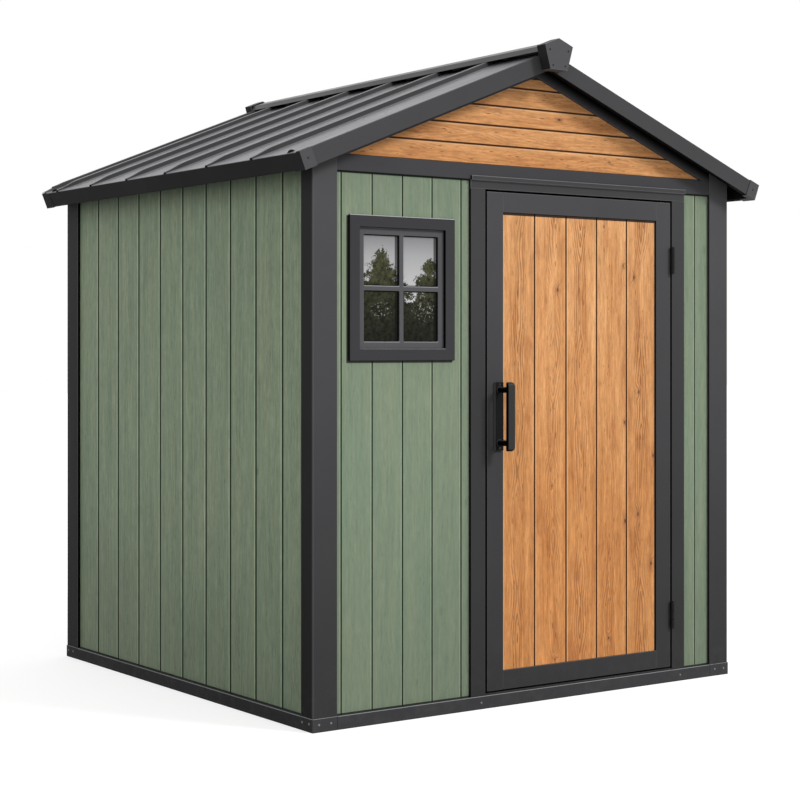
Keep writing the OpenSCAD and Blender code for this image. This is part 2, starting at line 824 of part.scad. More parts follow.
// The pull handle: a back plate, two round posts and a grip whose ends curve to the door
module door_handle() {
    plate_face = frame_y + handle_plate_t;
    grip_front = frame_y + grip_out;
    grip_back = grip_front - grip_t;
    color(near_black) {
        along_y(-plate_face, -frame_y)
            translate([handle_x, handle_z]) rounded_plate(handle_plate_w, handle_l, plate_corner);
        intersection() {
            along_y(-grip_front, -grip_back)
                translate([handle_x, handle_z]) rounded_plate(grip_w, handle_l, grip_corner);
            along_x(handle_x - grip_w / 2, handle_x + grip_w / 2)
                translate([grip_t - grip_front, handle_z])
                    rounded_plate(2 * grip_t, handle_l, grip_round);
        }
        for (end = [-1, 1])
            along_y(-grip_back, -plate_face)
                translate([handle_x, handle_z + end * (handle_l / 2 - grip_post_in)])
                    circle(d = grip_post_d);
    }
}

base_rail_front();
base_rail_back();
base_rail_left();
base_rail_right();
base_corners();
floor_bearers();
floor_panel();
post_front_left();
post_front_right();
post_back_left();
post_back_right();
wall_left();
wall_right();
wall_back();
wall_front_left();
wall_front_right();
header_front();
header_back();
side_plates();
gable_front();
gable_back();
gable_trim_front();
gable_trim_back();
door_jambs();
door_head();
door_sill();
window_casing();
window_sash();
window_glass();
roof_left();
roof_right();
ridge_beam();
ridge_cap();
ridge_ends();
barge_front_left();
barge_front_right();
barge_back_left();
barge_back_right();
eave_fascias();
eave_corner_caps();
hinge_frame_side();
hinge_door_side();
door_stiles();
door_rails();
door_boards();
door_handle();
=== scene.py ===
import json
import math

import bpy
import numpy as np
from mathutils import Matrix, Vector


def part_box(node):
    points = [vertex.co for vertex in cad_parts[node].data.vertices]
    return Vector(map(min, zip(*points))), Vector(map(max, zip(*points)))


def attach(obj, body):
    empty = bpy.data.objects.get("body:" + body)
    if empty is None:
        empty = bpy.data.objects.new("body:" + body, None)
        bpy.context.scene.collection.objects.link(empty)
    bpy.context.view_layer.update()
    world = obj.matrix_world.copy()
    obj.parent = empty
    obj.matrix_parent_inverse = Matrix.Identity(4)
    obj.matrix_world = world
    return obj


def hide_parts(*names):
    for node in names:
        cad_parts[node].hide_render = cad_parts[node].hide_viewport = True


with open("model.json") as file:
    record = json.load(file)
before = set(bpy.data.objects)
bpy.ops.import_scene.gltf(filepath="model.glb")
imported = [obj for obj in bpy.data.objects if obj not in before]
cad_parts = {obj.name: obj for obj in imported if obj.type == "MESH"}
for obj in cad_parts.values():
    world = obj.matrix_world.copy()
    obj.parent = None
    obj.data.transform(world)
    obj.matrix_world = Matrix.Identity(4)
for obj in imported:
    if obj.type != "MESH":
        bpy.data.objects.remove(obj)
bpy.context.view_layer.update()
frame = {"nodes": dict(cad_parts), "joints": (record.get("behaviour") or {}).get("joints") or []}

# The looks of a metal garden shed. The imported parts keep their shapes and get rounded
# folds and finishes, many of which paint light and shade into their colour. The folded
# roof sheets, the ridge cap, the handle, the hinges, the screws, the bolt caps and the
# glazing beads are new surfaces. Metres, Z up, the door faces -Y.

MM = 0.001
SHED, DOOR = "shed", "door"

# Sizes that the parts' boxes don't give, as the steel is folded
ROOF_PITCH = math.radians(21.8)
SHEET = 2 * MM            # thickness of a roof sheet and of the ridge cap
RIB_PITCH = 318 * MM
RIB_H = 17 * MM
RIB_TOP = 26 * MM
RIB_FOOT = 60 * MM
RIB_COUNT = 6
RIDGE_GAP = 6 * MM        # between the ridge line and the upper edge of a sheet
RIDGE_SIDE = 21 * MM      # height of the ridge cap's leaning sides
RIDGE_LEAN = 10 * MM
BARGE = 22 * MM           # thickness of a bargeboard
FIT = 0.3 * MM            # between a bargeboard and the sheet
FRONT_BOARD = 130.6 * MM
FRONT_FIRST = 24 * MM     # from the front wall's left edge to its first groove
SIDE_BOARD = 182.2 * MM
SIDE_FIRST = 175 * MM     # from a side wall's back edge to its first groove
DOOR_BOARDS = 5
GABLE_BOARD = 73.3 * MM


def edges(node):
    """The six sides of a part's box, as (x0, y0, z0), (x1, y1, z1) arrays."""
    low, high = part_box(node)
    return np.array(low), np.array(high)


# ---- meshes --------------------------------------------------------------------------


def piece(name, points, faces, body, slot, material, sharp=32):
    """Makes a finished piece of points and faces. It is smooth except where two faces meet
    at more than the sharp angle in degrees, and its flat faces keep flat normals."""
    mesh = bpy.data.meshes.new(name)
    mesh.from_pydata(np.asarray(points, float).tolist(), [], faces)
    mesh.validate()
    mesh.polygons.foreach_set("use_smooth", np.ones(len(mesh.polygons), bool))
    mesh.set_sharp_from_angle(angle=math.radians(sharp))
    obj = bpy.data.objects.new(name, mesh)
    bpy.context.scene.collection.objects.link(obj)
    mesh.materials.append(material)
    flat = obj.modifiers.new("flat_faces", "WEIGHTED_NORMAL")
    flat.keep_sharp = True
    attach(obj, body)
    return obj


def merged(shells):
    """Joins several (points, faces) shells into one, each face list moved on by the points
    before it."""
    points, faces, count = [], [], 0
    for shell_points, shell_faces in shells:
        points.append(np.asarray(shell_points, float))
        faces += [tuple(int(i) + count for i in face) for face in shell_faces]
        count += len(shell_points)
    return np.vstack(points), faces


def grid_faces(rows, columns, ring=False):
    """Quads over a grid of points stored row by row. Each joins point (r, c) to its three
    neighbours, and a ring also joins the last column to the first."""
    r, c = np.meshgrid(np.arange(rows - 1), np.arange(columns if ring else columns - 1),
                       indexing="ij")
    r, c = r.ravel(), c.ravel()
    d = (c + 1) % columns
    return np.stack([r * columns + c, r * columns + d, (r + 1) * columns + d,
                     (r + 1) * columns + c], 1).tolist()


def rounded(corners, radius, steps=4, closed=True):
    """An outline with each corner replaced by an arc. The arc's centre lies on the corner's
    bisector at radius / sin(half the corner), and its points turn evenly from one side's
    foot to the other's. An open line keeps its two end points as they are."""
    corners = np.asarray(corners, float)
    inner = np.arange(len(corners)) if closed else np.arange(1, len(corners) - 1)
    here = corners[inner]
    back = corners[inner - 1] - here
    on = corners[(inner + 1) % len(corners)] - here
    back /= np.linalg.norm(back, axis=1)[:, None]
    on /= np.linalg.norm(on, axis=1)[:, None]
    half = 0.5 * np.arccos(np.clip((back * on).sum(1), -1, 1))
    radius = np.broadcast_to(np.asarray(radius, float), len(inner))
    foot = (radius / np.tan(half))[:, None]
    bisector = back + on
    bisector /= np.linalg.norm(bisector, axis=1)[:, None]
    centre = here + bisector * (radius / np.sin(half))[:, None]
    start, stop = here + back * foot - centre, here + on * foot - centre
    turn = (math.pi - 2 * half)[:, None, None]
    share = np.linspace(0, 1, steps + 1)[None, :, None]
    arc = (np.sin((1 - share) * turn) * start[:, None] + np.sin(share * turn) * stop[:, None])
    line = (centre[:, None] + arc / np.sin(turn)).reshape(-1, 2)
    return line if closed else np.vstack([corners[:1], line, corners[-1:]])


def offset_line(line, distance):
    """An open line moved sideways: each point goes along the mean of its two segments'
    normals, by distance / cos(half the turn there)."""
    step = np.diff(line, axis=0)
    step /= np.linalg.norm(step, axis=1)[:, None]
    normal = np.stack([-step[:, 1], step[:, 0]], 1)
    before, after = np.vstack([normal[:1], normal]), np.vstack([normal, normal[-1:]])
    mean = before + after
    mean /= np.linalg.norm(mean, axis=1)[:, None]
    return line + mean * (distance / (mean * before).sum(1))[:, None]


def sheet_shell(upper, under):
    """A sheet between two grids of points of the same size, (rows, columns, 3): faces over
    the upper grid, the same faces turned over on the under grid, and a strip along each of
    the four edges that joins every edge point to the one below it."""
    rows, columns = upper.shape[:2]
    index = np.arange(rows * columns).reshape(rows, columns)
    top = np.array(grid_faces(rows, columns))
    low = top[:, ::-1] + index.size
    faces = top.tolist() + low.tolist()
    for edge in (index[0, ::-1], index[-1], index[:, 0], index[::-1, -1]):
        a, b = edge[:-1], edge[1:]
        faces += np.stack([a, b, b + index.size, a + index.size], 1)[:, ::-1].tolist()
    return np.vstack([upper.reshape(-1, 3), under.reshape(-1, 3)]), faces


def closed_rings(rows):
    """Joins closed rings of points, each to the next. One face closes each end."""
    count, last = len(rows[0]), len(rows[0]) * (len(rows) - 1)
    faces = grid_faces(len(rows), count, ring=True)
    faces += [tuple(range(count))[::-1], tuple(range(last, last + count))]
    return np.concatenate(rows), faces


def rectangle(x0, y0, x1, y1):
    """The corners of a rectangle, in turn."""
    return np.array([[x0, y0], [x1, y0], [x1, y1], [x0, y1]])


def turned(profile, centre, axis, side, segments=24):
    """Turns a profile of (radius, height) about an axis. Point = centre + height * axis +
    radius * (cos t * side + sin t * (axis x side)). The first and last radius are 0 and
    each closes in one pole."""
    profile = np.asarray(profile, float)
    axis, side = np.asarray(axis, float), np.asarray(side, float)
    other = np.cross(axis, side)
    t = np.linspace(0, 2 * math.pi, segments, endpoint=False)
    spoke = np.cos(t)[:, None] * side + np.sin(t)[:, None] * other
    body = profile[1:-1]
    points = (np.asarray(centre) + body[:, 1][:, None, None] * axis
              + body[:, 0][:, None, None] * spoke[None])
    count = len(body)
    faces = grid_faces(count, segments, ring=True)
    points = np.vstack([points.reshape(-1, 3), np.asarray(centre) + profile[0, 1] * axis,
                        np.asarray(centre) + profile[-1, 1] * axis])
    pole, top = count * segments, count * segments + 1
    i = np.arange(segments)
    j = (i + 1) % segments
    faces += np.stack([j, i, np.full(segments, pole)], 1).tolist()
    last = (count - 1) * segments
    faces += np.stack([last + i, last + j, np.full(segments, top)], 1).tolist()
    return points, faces


# ---- shader nodes --------------------------------------------------------------------


class Graph:
    """Puts nodes into one node tree and links their sockets."""

    def __init__(self, tree):
        self.tree = tree

    def node(self, kind, inputs=(), **settings):
        made = self.tree.nodes.new("ShaderNode" + kind)
        for name, value in settings.items():
            setattr(made, name, value)
        for socket, value in dict(inputs).items():
            self.feed(made.inputs[socket], value)
        return made

    def feed(self, socket, value):
        if isinstance(value, bpy.types.NodeSocket):
            self.tree.links.new(value, socket)
        else:
            socket.default_value = value

    def math(self, operation, *values, clamp=False):
        made = self.node("Math", enumerate(values), operation=operation, use_clamp=clamp)
        return made.outputs[0]

    def chain(self, operation, values):
        result = values[0]
        for value in values[1:]:
            result = self.math(operation, result, value)
        return result

    def product(self, *values):
        """All the values multiplied together."""
        return self.chain("MULTIPLY", values)

    def total(self, *values):
        """All the values added up."""
        return self.chain("ADD", values)

    def most(self, *values):
        """The greatest of the values."""
        return self.chain("MAXIMUM", values)

    def less(self, one, two):
        return self.math("SUBTRACT", one, two)

    def ratio(self, one, two):
        return self.math("DIVIDE", one, two)

    def times_plus(self, one, two, more):
        """One times two, plus more."""
        return self.math("MULTIPLY_ADD", one, two, more)

    def size(self, value):
        """The value without its sign."""
        return self.math("ABSOLUTE", value)

    def vector(self, operation, *values):
        return self.node("VectorMath", enumerate(values), operation=operation).outputs[0]

    def scaled(self, vector, x=1.0, y=1.0, z=1.0, move=(0, 0, 0)):
        """A vector times (x, y, z) plus a move."""
        return self.vector("MULTIPLY_ADD", vector, (x, y, z), move)

    def length(self, vector):
        return self.node("VectorMath", {0: vector}, operation="LENGTH").outputs["Value"]

    def split(self, vector):
        return self.node("SeparateXYZ", {0: vector}).outputs

    def joined(self, x, y, z):
        return self.node("CombineXYZ", {0: x, 1: y, 2: z}).outputs[0]

    def noise(self, vector, scale=1.0, detail=2.0, rough=0.5):
        made = self.node("TexNoise", {"Vector": vector, "Scale": scale, "Detail": detail,
                                      "Roughness": rough})
        return made.outputs[0]

    def between(self, value, low, high, to_low=0.0, to_high=1.0, kind="SMOOTHSTEP"):
        """A value's place between low and high, as 0 to 1 or the given ends."""
        made = self.node("MapRange", {"Value": value, "From Min": low, "From Max": high,
                                      "To Min": to_low, "To Max": to_high},
                         interpolation_type=kind)
        return made.outputs[0]

    def evenly(self, *values):
        """The same in a straight line."""
        return self.between(*values, kind="LINEAR")

    def swing(self, value, reach, base=1.0):
        """A noise value as a factor: base at its mean of 0.5, and base +/- reach / 2 at its
        ends."""
        return self.times_plus(self.less(value, 0.5), reach, base)

    def blend(self, share, one, two, how="MIX"):
        made = self.node("Mix", {0: share, 6: one, 7: two}, data_type="RGBA", blend_type=how)
        return made.outputs[2]

    def toned(self, colour, tone):
        """A colour times a single value."""
        return self.blend(1.0, colour, self.joined(tone, tone, tone), "MULTIPLY")

    def stained(self, colour, *layers):
        """A colour under stains, each (mask, share, stain) laid on by its mask times its
        share."""
        for mask, share, stain in layers:
            colour = self.blend(self.product(mask, share), colour, (*stain, 1))
        return colour

    def ramp(self, value, stops):
        """Colours along a value; stops are (place, colour) pairs."""
        made = self.node("ValToRGB", {0: value})
        marks = made.color_ramp.elements
        while len(marks) < len(stops):
            marks.new(0.5)
        for mark, (place, colour) in zip(marks, stops):
            mark.position = place
            mark.color = (*colour, 1.0)
        return made.outputs[0]

    def group(self, tree, inputs):
        made = self.tree.nodes.new("ShaderNodeGroup")
        made.node_tree = tree
        for socket, value in inputs.items():
            self.feed(made.inputs[socket], value)
        return made.outputs

    def bump(self, height, distance, strength=1.0):
        made = self.node("Bump", {"Height": height, "Distance": distance,
                                  "Strength": strength})
        return made.outputs[0]


def effect(name, inputs, outputs):
    """A node group that takes a vector and named values, and puts out named values."""
    tree = bpy.data.node_groups.new(name, "ShaderNodeTree")
    tree.interface.new_socket(name="Vector", in_out="INPUT", socket_type="NodeSocketVector")
    for label, value in inputs.items():
        socket = tree.interface.new_socket(name=label, in_out="INPUT",
                                           socket_type="NodeSocketFloat")
        socket.default_value = value
    for label in outputs:
        tree.interface.new_socket(name=label, in_out="OUTPUT", socket_type="NodeSocketFloat")
    graph = Graph(tree)
    return graph, tree.nodes.new("NodeGroupInput").outputs, tree.nodes.new(
        "NodeGroupOutput").inputs


def specks():
    """Long dark marks strewn over boards. The board is cut into cells, and a chosen share of
    them holds one mark at a random spot: an ellipse of the given half sizes, grown or shrunk
    from cell to cell, with a soft halo of three times its size round it."""
    g, given, out = effect("specks", {
        "Cells Across": 9.0, "Cells Along": 2.0, "Half Width": 0.005, "Half Length": 0.012,
        "Chance": 0.5}, ("Core", "Halo", "Reach"))
    stretch = g.joined(given["Cells Across"], 0.0, given["Cells Along"])
    spot = g.vector("MULTIPLY", given["Vector"], stretch)
    cells = g.node("TexVoronoi", {"Vector": spot, "Scale": 1.0, "Randomness": 0.9},
                   voronoi_dimensions="3D")
    away = g.vector("DIVIDE", g.vector("SUBTRACT", spot, cells.outputs["Position"]), stretch)
    dice = g.split(cells.outputs["Color"])
    size = g.times_plus(dice[1], 0.8, 0.5)
    halves = g.joined(g.product(size, given["Half Width"]), 1.0,
                      g.product(size, given["Half Length"]))
    away = g.vector("DIVIDE", away, halves)
    ragged = g.noise(g.scaled(given["Vector"], 260, 1, 60), 1.0, 2.0)
    reach = g.total(g.length(away), g.swing(ragged, 0.9, 0.0))
    chosen = g.math("LESS_THAN", dice[0], given["Chance"])
    g.feed(out["Core"], g.product(g.between(reach, 1.1, 0.6), chosen))
    g.feed(out["Halo"], g.product(g.between(reach, 3.2, 0.8), chosen))
    g.feed(out["Reach"], g.most(reach, g.between(chosen, 0.0, 1.0, 9.0, 0.0)))
    return g.tree


SPECKS = specks()


def board_grain():
    """The figure of sawn boards, as masks. The vector is (across, through, along) in metres.
    Each board is cut close to a pith line that wanders along it: ring radius = the distance
    across from that line + a depth that rises and falls along the board, which draws the
    pointed arches. The arches stay near the middle of the board, knots push them aside, and
    short dark flecks follow the pith. Side is the distance to the nearest joint, less than
    zero before it and more than zero past it."""
    g, given, out = effect("board_grain", {
        "Board Width": 0.15, "First Joint": 0.0, "Ring Spacing": 0.007, "Knots": 0.4,
        "Seed": 0.0}, ("Rings", "Fibre", "Band", "Streak", "Cloud", "Fleck", "Knot", "Halo",
                       "Board", "Side"))
    width = given["Board Width"]
    across, _, along = g.split(given["Vector"])
    place = g.ratio(g.less(across, given["First Joint"]), width)
    number = g.math("FLOOR", place)
    share = g.math("FRACT", place)
    dice = g.node("TexWhiteNoise", {"Vector": g.joined(number, given["Seed"], 3.7)},
                  noise_dimensions="3D")
    roll = g.split(dice.outputs["Color"])
    middle = g.less(share, g.times_plus(roll[0], 0.30, 0.35))
    run = g.times_plus(roll[1], 41.0, along)
    wander = g.noise(g.joined(number, given["Seed"], run), 1.6, 1.0)
    side = g.times_plus(middle, width, g.swing(wander, 0.030, 0.0))
    spot = g.joined(g.times_plus(number, 3.1, side), given["Seed"], run)
    warp = g.noise(g.scaled(spot, 30, 1, 4.0), 1.0, 3.0, 0.55)
    ripple = g.noise(g.scaled(spot, 110, 1, 14.0), 1.0, 2.0)
    depth = g.product(g.noise(g.joined(g.total(number, 9.0), 0.0, run), 2.4, 1.5), 0.17)
    marks = g.group(SPECKS, {"Vector": spot, "Cells Across": 11.0, "Cells Along": 2.4,
                             "Half Width": 0.0040, "Half Length": 0.0075,
                             "Chance": given["Knots"]})
    flecks = g.group(SPECKS, {"Vector": g.scaled(spot, move=(0.7, 0, 5.3)),
                              "Cells Across": 46.0, "Cells Along": 11.0, "Half Width": 0.0019,
                              "Half Length": 0.0110, "Chance": 0.60})
    radius = g.total(depth, g.math("SQRT", g.times_plus(side, side, 9e-6)),
                     g.swing(warp, 0.014, 0.0), g.swing(ripple, 0.0040, 0.0),
                     g.between(marks["Reach"], 6.0, 0.0, 0.0, 0.016))
    phase = g.math("FRACT", g.ratio(radius, given["Ring Spacing"]))
    rings = g.product(g.between(phase, 0.42, 0.86), g.between(phase, 1.0, 0.93))
    off_pith = g.size(side)
    near = g.between(off_pith, 0.046, 0.018)
    fade = g.between(g.noise(g.scaled(spot, 9, 1, 1.8), 1.0, 2.0), 0.38, 0.60)
    bent = g.between(marks["Reach"], 6.0, 2.0, 0.0, 0.7)
    g.feed(out["Rings"], g.product(rings, g.most(g.product(near, fade), bent)))
    for label, stretch, detail, rough in (
            ("Fibre", (98, 98, 15.0), 4.0, 0.80), ("Band", (52, 52, 2.2), 3.0, 0.62),
            ("Streak", (20, 1, 1.1), 4.0, 0.6), ("Cloud", (15, 1, 4.5), 4.0, 0.6)):
        g.feed(out[label], g.noise(g.scaled(spot, *stretch), 1.0, detail, rough))
    g.feed(out["Fleck"], g.product(flecks["Core"],
                                   g.between(off_pith, 0.050, 0.010, 0.22, 1.0)))
    g.feed(out["Knot"], marks["Core"])
    g.feed(out["Halo"], marks["Halo"])
    g.feed(out["Board"], roll[2])
    past = g.less(share, g.math("GREATER_THAN", share, 0.5))
    g.feed(out["Side"], g.product(past, width))
    return g.tree


def coat_texture():
    """The skin of a powder coat: a fine orange-peel height, a slow change of tone and
    gloss, and a little dust that settles near the ground."""
    g, given, out = effect("coat_texture", {"Grain": 900.0, "Patch": 3.0, "Dust Height": 0.35},
                           ("Height", "Tone", "Gloss", "Dust"))
    place = given["Vector"]
    g.feed(out["Height"], g.noise(place, given["Grain"], 3.0, 0.6))
    g.feed(out["Tone"], g.noise(place, given["Patch"], 4.0, 0.55))
    g.feed(out["Gloss"], g.noise(g.scaled(place, 6, 6, 1.5), 1.0, 5.0, 0.6))
    g.feed(out["Dust"], g.product(g.between(g.split(place)[2], given["Dust Height"], 0.0),
                                  g.between(g.noise(place, 22.0, 5.0, 0.65), 0.42, 0.80)))
    return g.tree


GRAIN = board_grain()
COAT = coat_texture()
COAT_GRAIN = 1100.0       # the peel of the charcoal coats, in spots a metre
PEEL = 0.25 * MM          # and its height
LOW_SHADE_TOP = 1.1            # height below which a painted shade darkens the walls towards the ground
SHELTER = 0.13            # depth of the painted shade under the top edge of a wall
TALL = 2.0                # height at which a charcoal coat has its high tone, its painted light
TIER = 0.036              # height of a tier of twigs in the fir of the glass's painted reflection


def material(name):
    """An empty material with its graph, its output node, its Object coordinates and its
    normals in the same frame."""
    made = bpy.data.materials.new(name)
    made.use_nodes = True
    made.node_tree.nodes.clear()
    graph = Graph(made.node_tree)
    end = graph.node("OutputMaterial")
    given = graph.node("TexCoord").outputs
    return made, graph, end, given["Object"], given["Normal"]


def principled(graph, end, colour, rough, specular, normal=None):
    """The material's own shader, wired to its output."""
    inputs = {"Base Color": colour, "Roughness": rough, "Specular IOR Level": specular}
    if normal is not None:
        inputs["Normal"] = normal
    shader = graph.node("BsdfPrincipled", inputs)
    graph.feed(end.inputs["Surface"], shader.outputs[0])


def turned_to(graph, place, across):
    """Object coordinates as (across, through, along) for boards that lie side by side in
    X, in Y or, for level boards, in Z."""
    order = {"X": (0, 1, 2), "Y": (1, 0, 2), "Z": (2, 1, 0)}[across]
    parts = graph.split(place)
    return graph.joined(*[parts[i] for i in order])


def joint_lines(g, side, lit, seam, rim):
    """Two masks along a groove between boards: the dark seam itself, and a painted highlight
    on the rim at one side of it, at side values less than zero where lit is -1 and more
    than zero where it is 1."""
    dark = g.between(g.size(side), seam, seam * 0.70)
    past = g.math("MULTIPLY", side, lit)
    light = g.product(g.between(past, seam * 0.8, seam),
                      g.between(past, seam + rim, seam + rim * 0.8))
    return dark, light


def green_panel(name, across, first, width, seed, box, lit, seam, rim, figure, lift, low, shade,
                blue, under=None):
    """Sage green coated steel, pressed with a faint timber grain: upright streaks, dark
    seams with a painted highlight on one rim, a dark sealing strip at its foot, a painted
    shadow line under its top edge, and a painted shade that deepens near the ground and
    under what covers its top edge. First is where the first groove lies and box the wall's
    box. Rim is the painted highlight's width and gain, figure is how strongly the streaks
    show, lift is the whole tone, and low and shade are the painted tone at the ground and
    under the top edge. Blue is the blue of the green. Under is the box of a part that
    stands on the panel, whose painted shadow falls on the panel at the left and below."""
    made, g, end, place, _ = material(name)
    spot = turned_to(g, place, across)
    grain = g.group(GRAIN, {"Vector": spot, "Board Width": width, "First Joint": first,
                            "Ring Spacing": 0.013, "Knots": 0.10, "Seed": seed})
    coat = g.group(COAT, {"Vector": place, "Grain": 1400.0, "Patch": 2.2})
    hue = g.times_plus(grain["Band"], 0.45, g.product(grain["Streak"], 0.55))
    colour = g.ramp(g.evenly(hue, 0.38, 0.62), [
        (0.0, (0.184, 0.251, blue)), (1.0, (0.214, 0.255, blue))])
    tone = g.product(*[g.swing(grain[mask], reach) for mask, reach in (
        ("Fibre", 0.44 * figure), ("Band", 0.22 * figure), ("Cloud", 0.10 * figure),
        ("Streak", 0.12), ("Board", 0.03))], g.swing(coat["Tone"], 0.06))
    for mask, share in (("Rings", -0.05 * figure), ("Fleck", -0.10 * figure), ("Halo", -0.12)):
        tone = g.times_plus(grain[mask], share, tone)
    dark, light = joint_lines(g, grain["Side"], lit, seam, rim[0])
    level = g.split(place)[2]
    # Painted shade: the tone falls to low towards the ground and to shade under the top edge, and
    # the rim gets its painted highlight.
    tone = g.product(tone, g.between(level, 0.0, LOW_SHADE_TOP, low, 1.0), lift,
                     g.between(level, box[1][2], box[1][2] - SHELTER, shade, 1.0),
                     g.times_plus(light, rim[1], 1.0))
    # Painted shadow of the part under: dark where a copy of its box, moved 6 mm left and down,
    # reaches past it.
    if under is not None:
        low_corner, high_corner = np.array(under[0]), np.array(under[1])
        aside = g.scaled(place, move=(6 * MM - (low_corner + high_corner) / 2).tolist())
        aside = g.vector("ABSOLUTE", aside)
        over = g.split(g.scaled(aside, move=((low_corner - high_corner) / 2).tolist()))
        tone = g.product(tone, g.between(g.most(*over), 0.0, 3 * MM, 0.15, 1.0))
    # A dark sealing strip at the foot, and a painted shadow line under the top edge.
    for edge, inward in ((box[0][2], 1), (box[1][2], -1)):
        seal_and_shadow = g.between(level, edge + inward * 6 * MM, edge + inward * 5 * MM)
        dark = g.most(dark, seal_and_shadow)
    colour = g.stained(g.toned(colour, tone), (dark, 0.95, (0.012, 0.020, 0.012)),
                       (coat["Dust"], 0.10, (0.30, 0.29, 0.25)))
    rough = g.times_plus(coat["Gloss"], 0.16, 0.46)
    rough = g.most(rough, g.product(dark, 0.9))
    height = g.times_plus(grain["Band"], 0.6, grain["Fibre"])
    height = g.times_plus(coat["Height"], 0.10, height)
    principled(g, end, colour, rough, 0.20, g.bump(height, 0.9 * MM, 0.5))
    return made


def timber_board(name, across, first, width, seed, box, lit, rings, pale):
    """Printed timber: honey boards with short upright fibres, pointed brown arches down the
    middle, soft brown clouds, dark flecks and haloed knots, and a painted highlight along
    one rim of each groove. Rings is how strongly the arches show. A painted shade leaves
    the print pale at the first of the two pale heights and deepens it towards the second.
    A painted shadow line runs along its top edge and its right edge."""
    made, g, end, place, _ = material(name)
    spot = turned_to(g, place, across)
    grain = g.group(GRAIN, {"Vector": spot, "Board Width": width, "First Joint": first,
                            "Ring Spacing": 0.0112, "Knots": 0.40, "Seed": seed})
    coat = g.group(COAT, {"Vector": place, "Grain": 1300.0, "Patch": 4.0})
    warm = g.times_plus(grain["Band"], 0.5, g.product(grain["Streak"], 0.5))
    colour = g.ramp(warm, [
        (0.30, (0.590, 0.246, 0.088)), (0.44, (0.730, 0.354, 0.142)),
        (0.55, (0.800, 0.415, 0.180)), (0.72, (0.860, 0.482, 0.236))])
    cloud = g.between(grain["Cloud"], 0.50, 0.72)
    colour = g.stained(colour, (cloud, 0.62, (0.480, 0.190, 0.072)))
    tone = g.product(g.swing(grain["Fibre"], 1.35), g.swing(grain["Band"], 0.58),
                     g.swing(grain["Board"], 0.12))
    colour = g.toned(colour, tone)
    x, _, level = g.split(place)
    # Painted shade: the print deepens from the first pale height to the second.
    colour = g.blend(g.evenly(level, *pale), colour, (0.80, 0.69, 0.56, 1), "MULTIPLY")
    dark, light = joint_lines(g, grain["Side"], lit, 4.2 * MM, 5.0 * MM)
    # Painted shadow lines along the top edge and the right edge.
    seal_and_shadow = g.most(g.between(level, box[1][2] - 11 * MM, box[1][2] - 9 * MM),
                  g.between(x, box[1][0] - 9 * MM, box[1][0] - 7 * MM))
    # The light stain is a painted highlight on one rim of each groove.
    colour = g.stained(colour, (grain["Rings"], rings, (0.290, 0.112, 0.040)),
                       (grain["Halo"], 0.55, (0.290, 0.130, 0.062)),
                       (grain["Fleck"], 0.70, (0.170, 0.062, 0.026)),
                       (grain["Knot"], 0.85, (0.110, 0.042, 0.022)),
                       (light, 0.36, (0.88, 0.58, 0.33)), (dark, 0.95, (0.060, 0.018, 0.006)),
                       (seal_and_shadow, 0.97, (0.012, 0.009, 0.007)))
    rough = g.times_plus(coat["Gloss"], 0.14, 0.52)
    height = g.times_plus(grain["Knot"], -0.5, grain["Fibre"])
    height = g.times_plus(grain["Rings"], -0.4, height)
    principled(g, end, colour, rough, 0.12, g.bump(height, 0.6 * MM, 0.5))
    return made


def away_from(g, x, z, centre, half):
    """Distance from a point in X and Z, measured in half sizes: 1 on the ellipse."""
    dx = g.ratio(g.less(x, centre[0]), half[0])
    dz = g.ratio(g.less(z, centre[1]), half[1])
    return g.math("SQRT", g.total(g.product(dx, dx), g.product(dz, dz)))


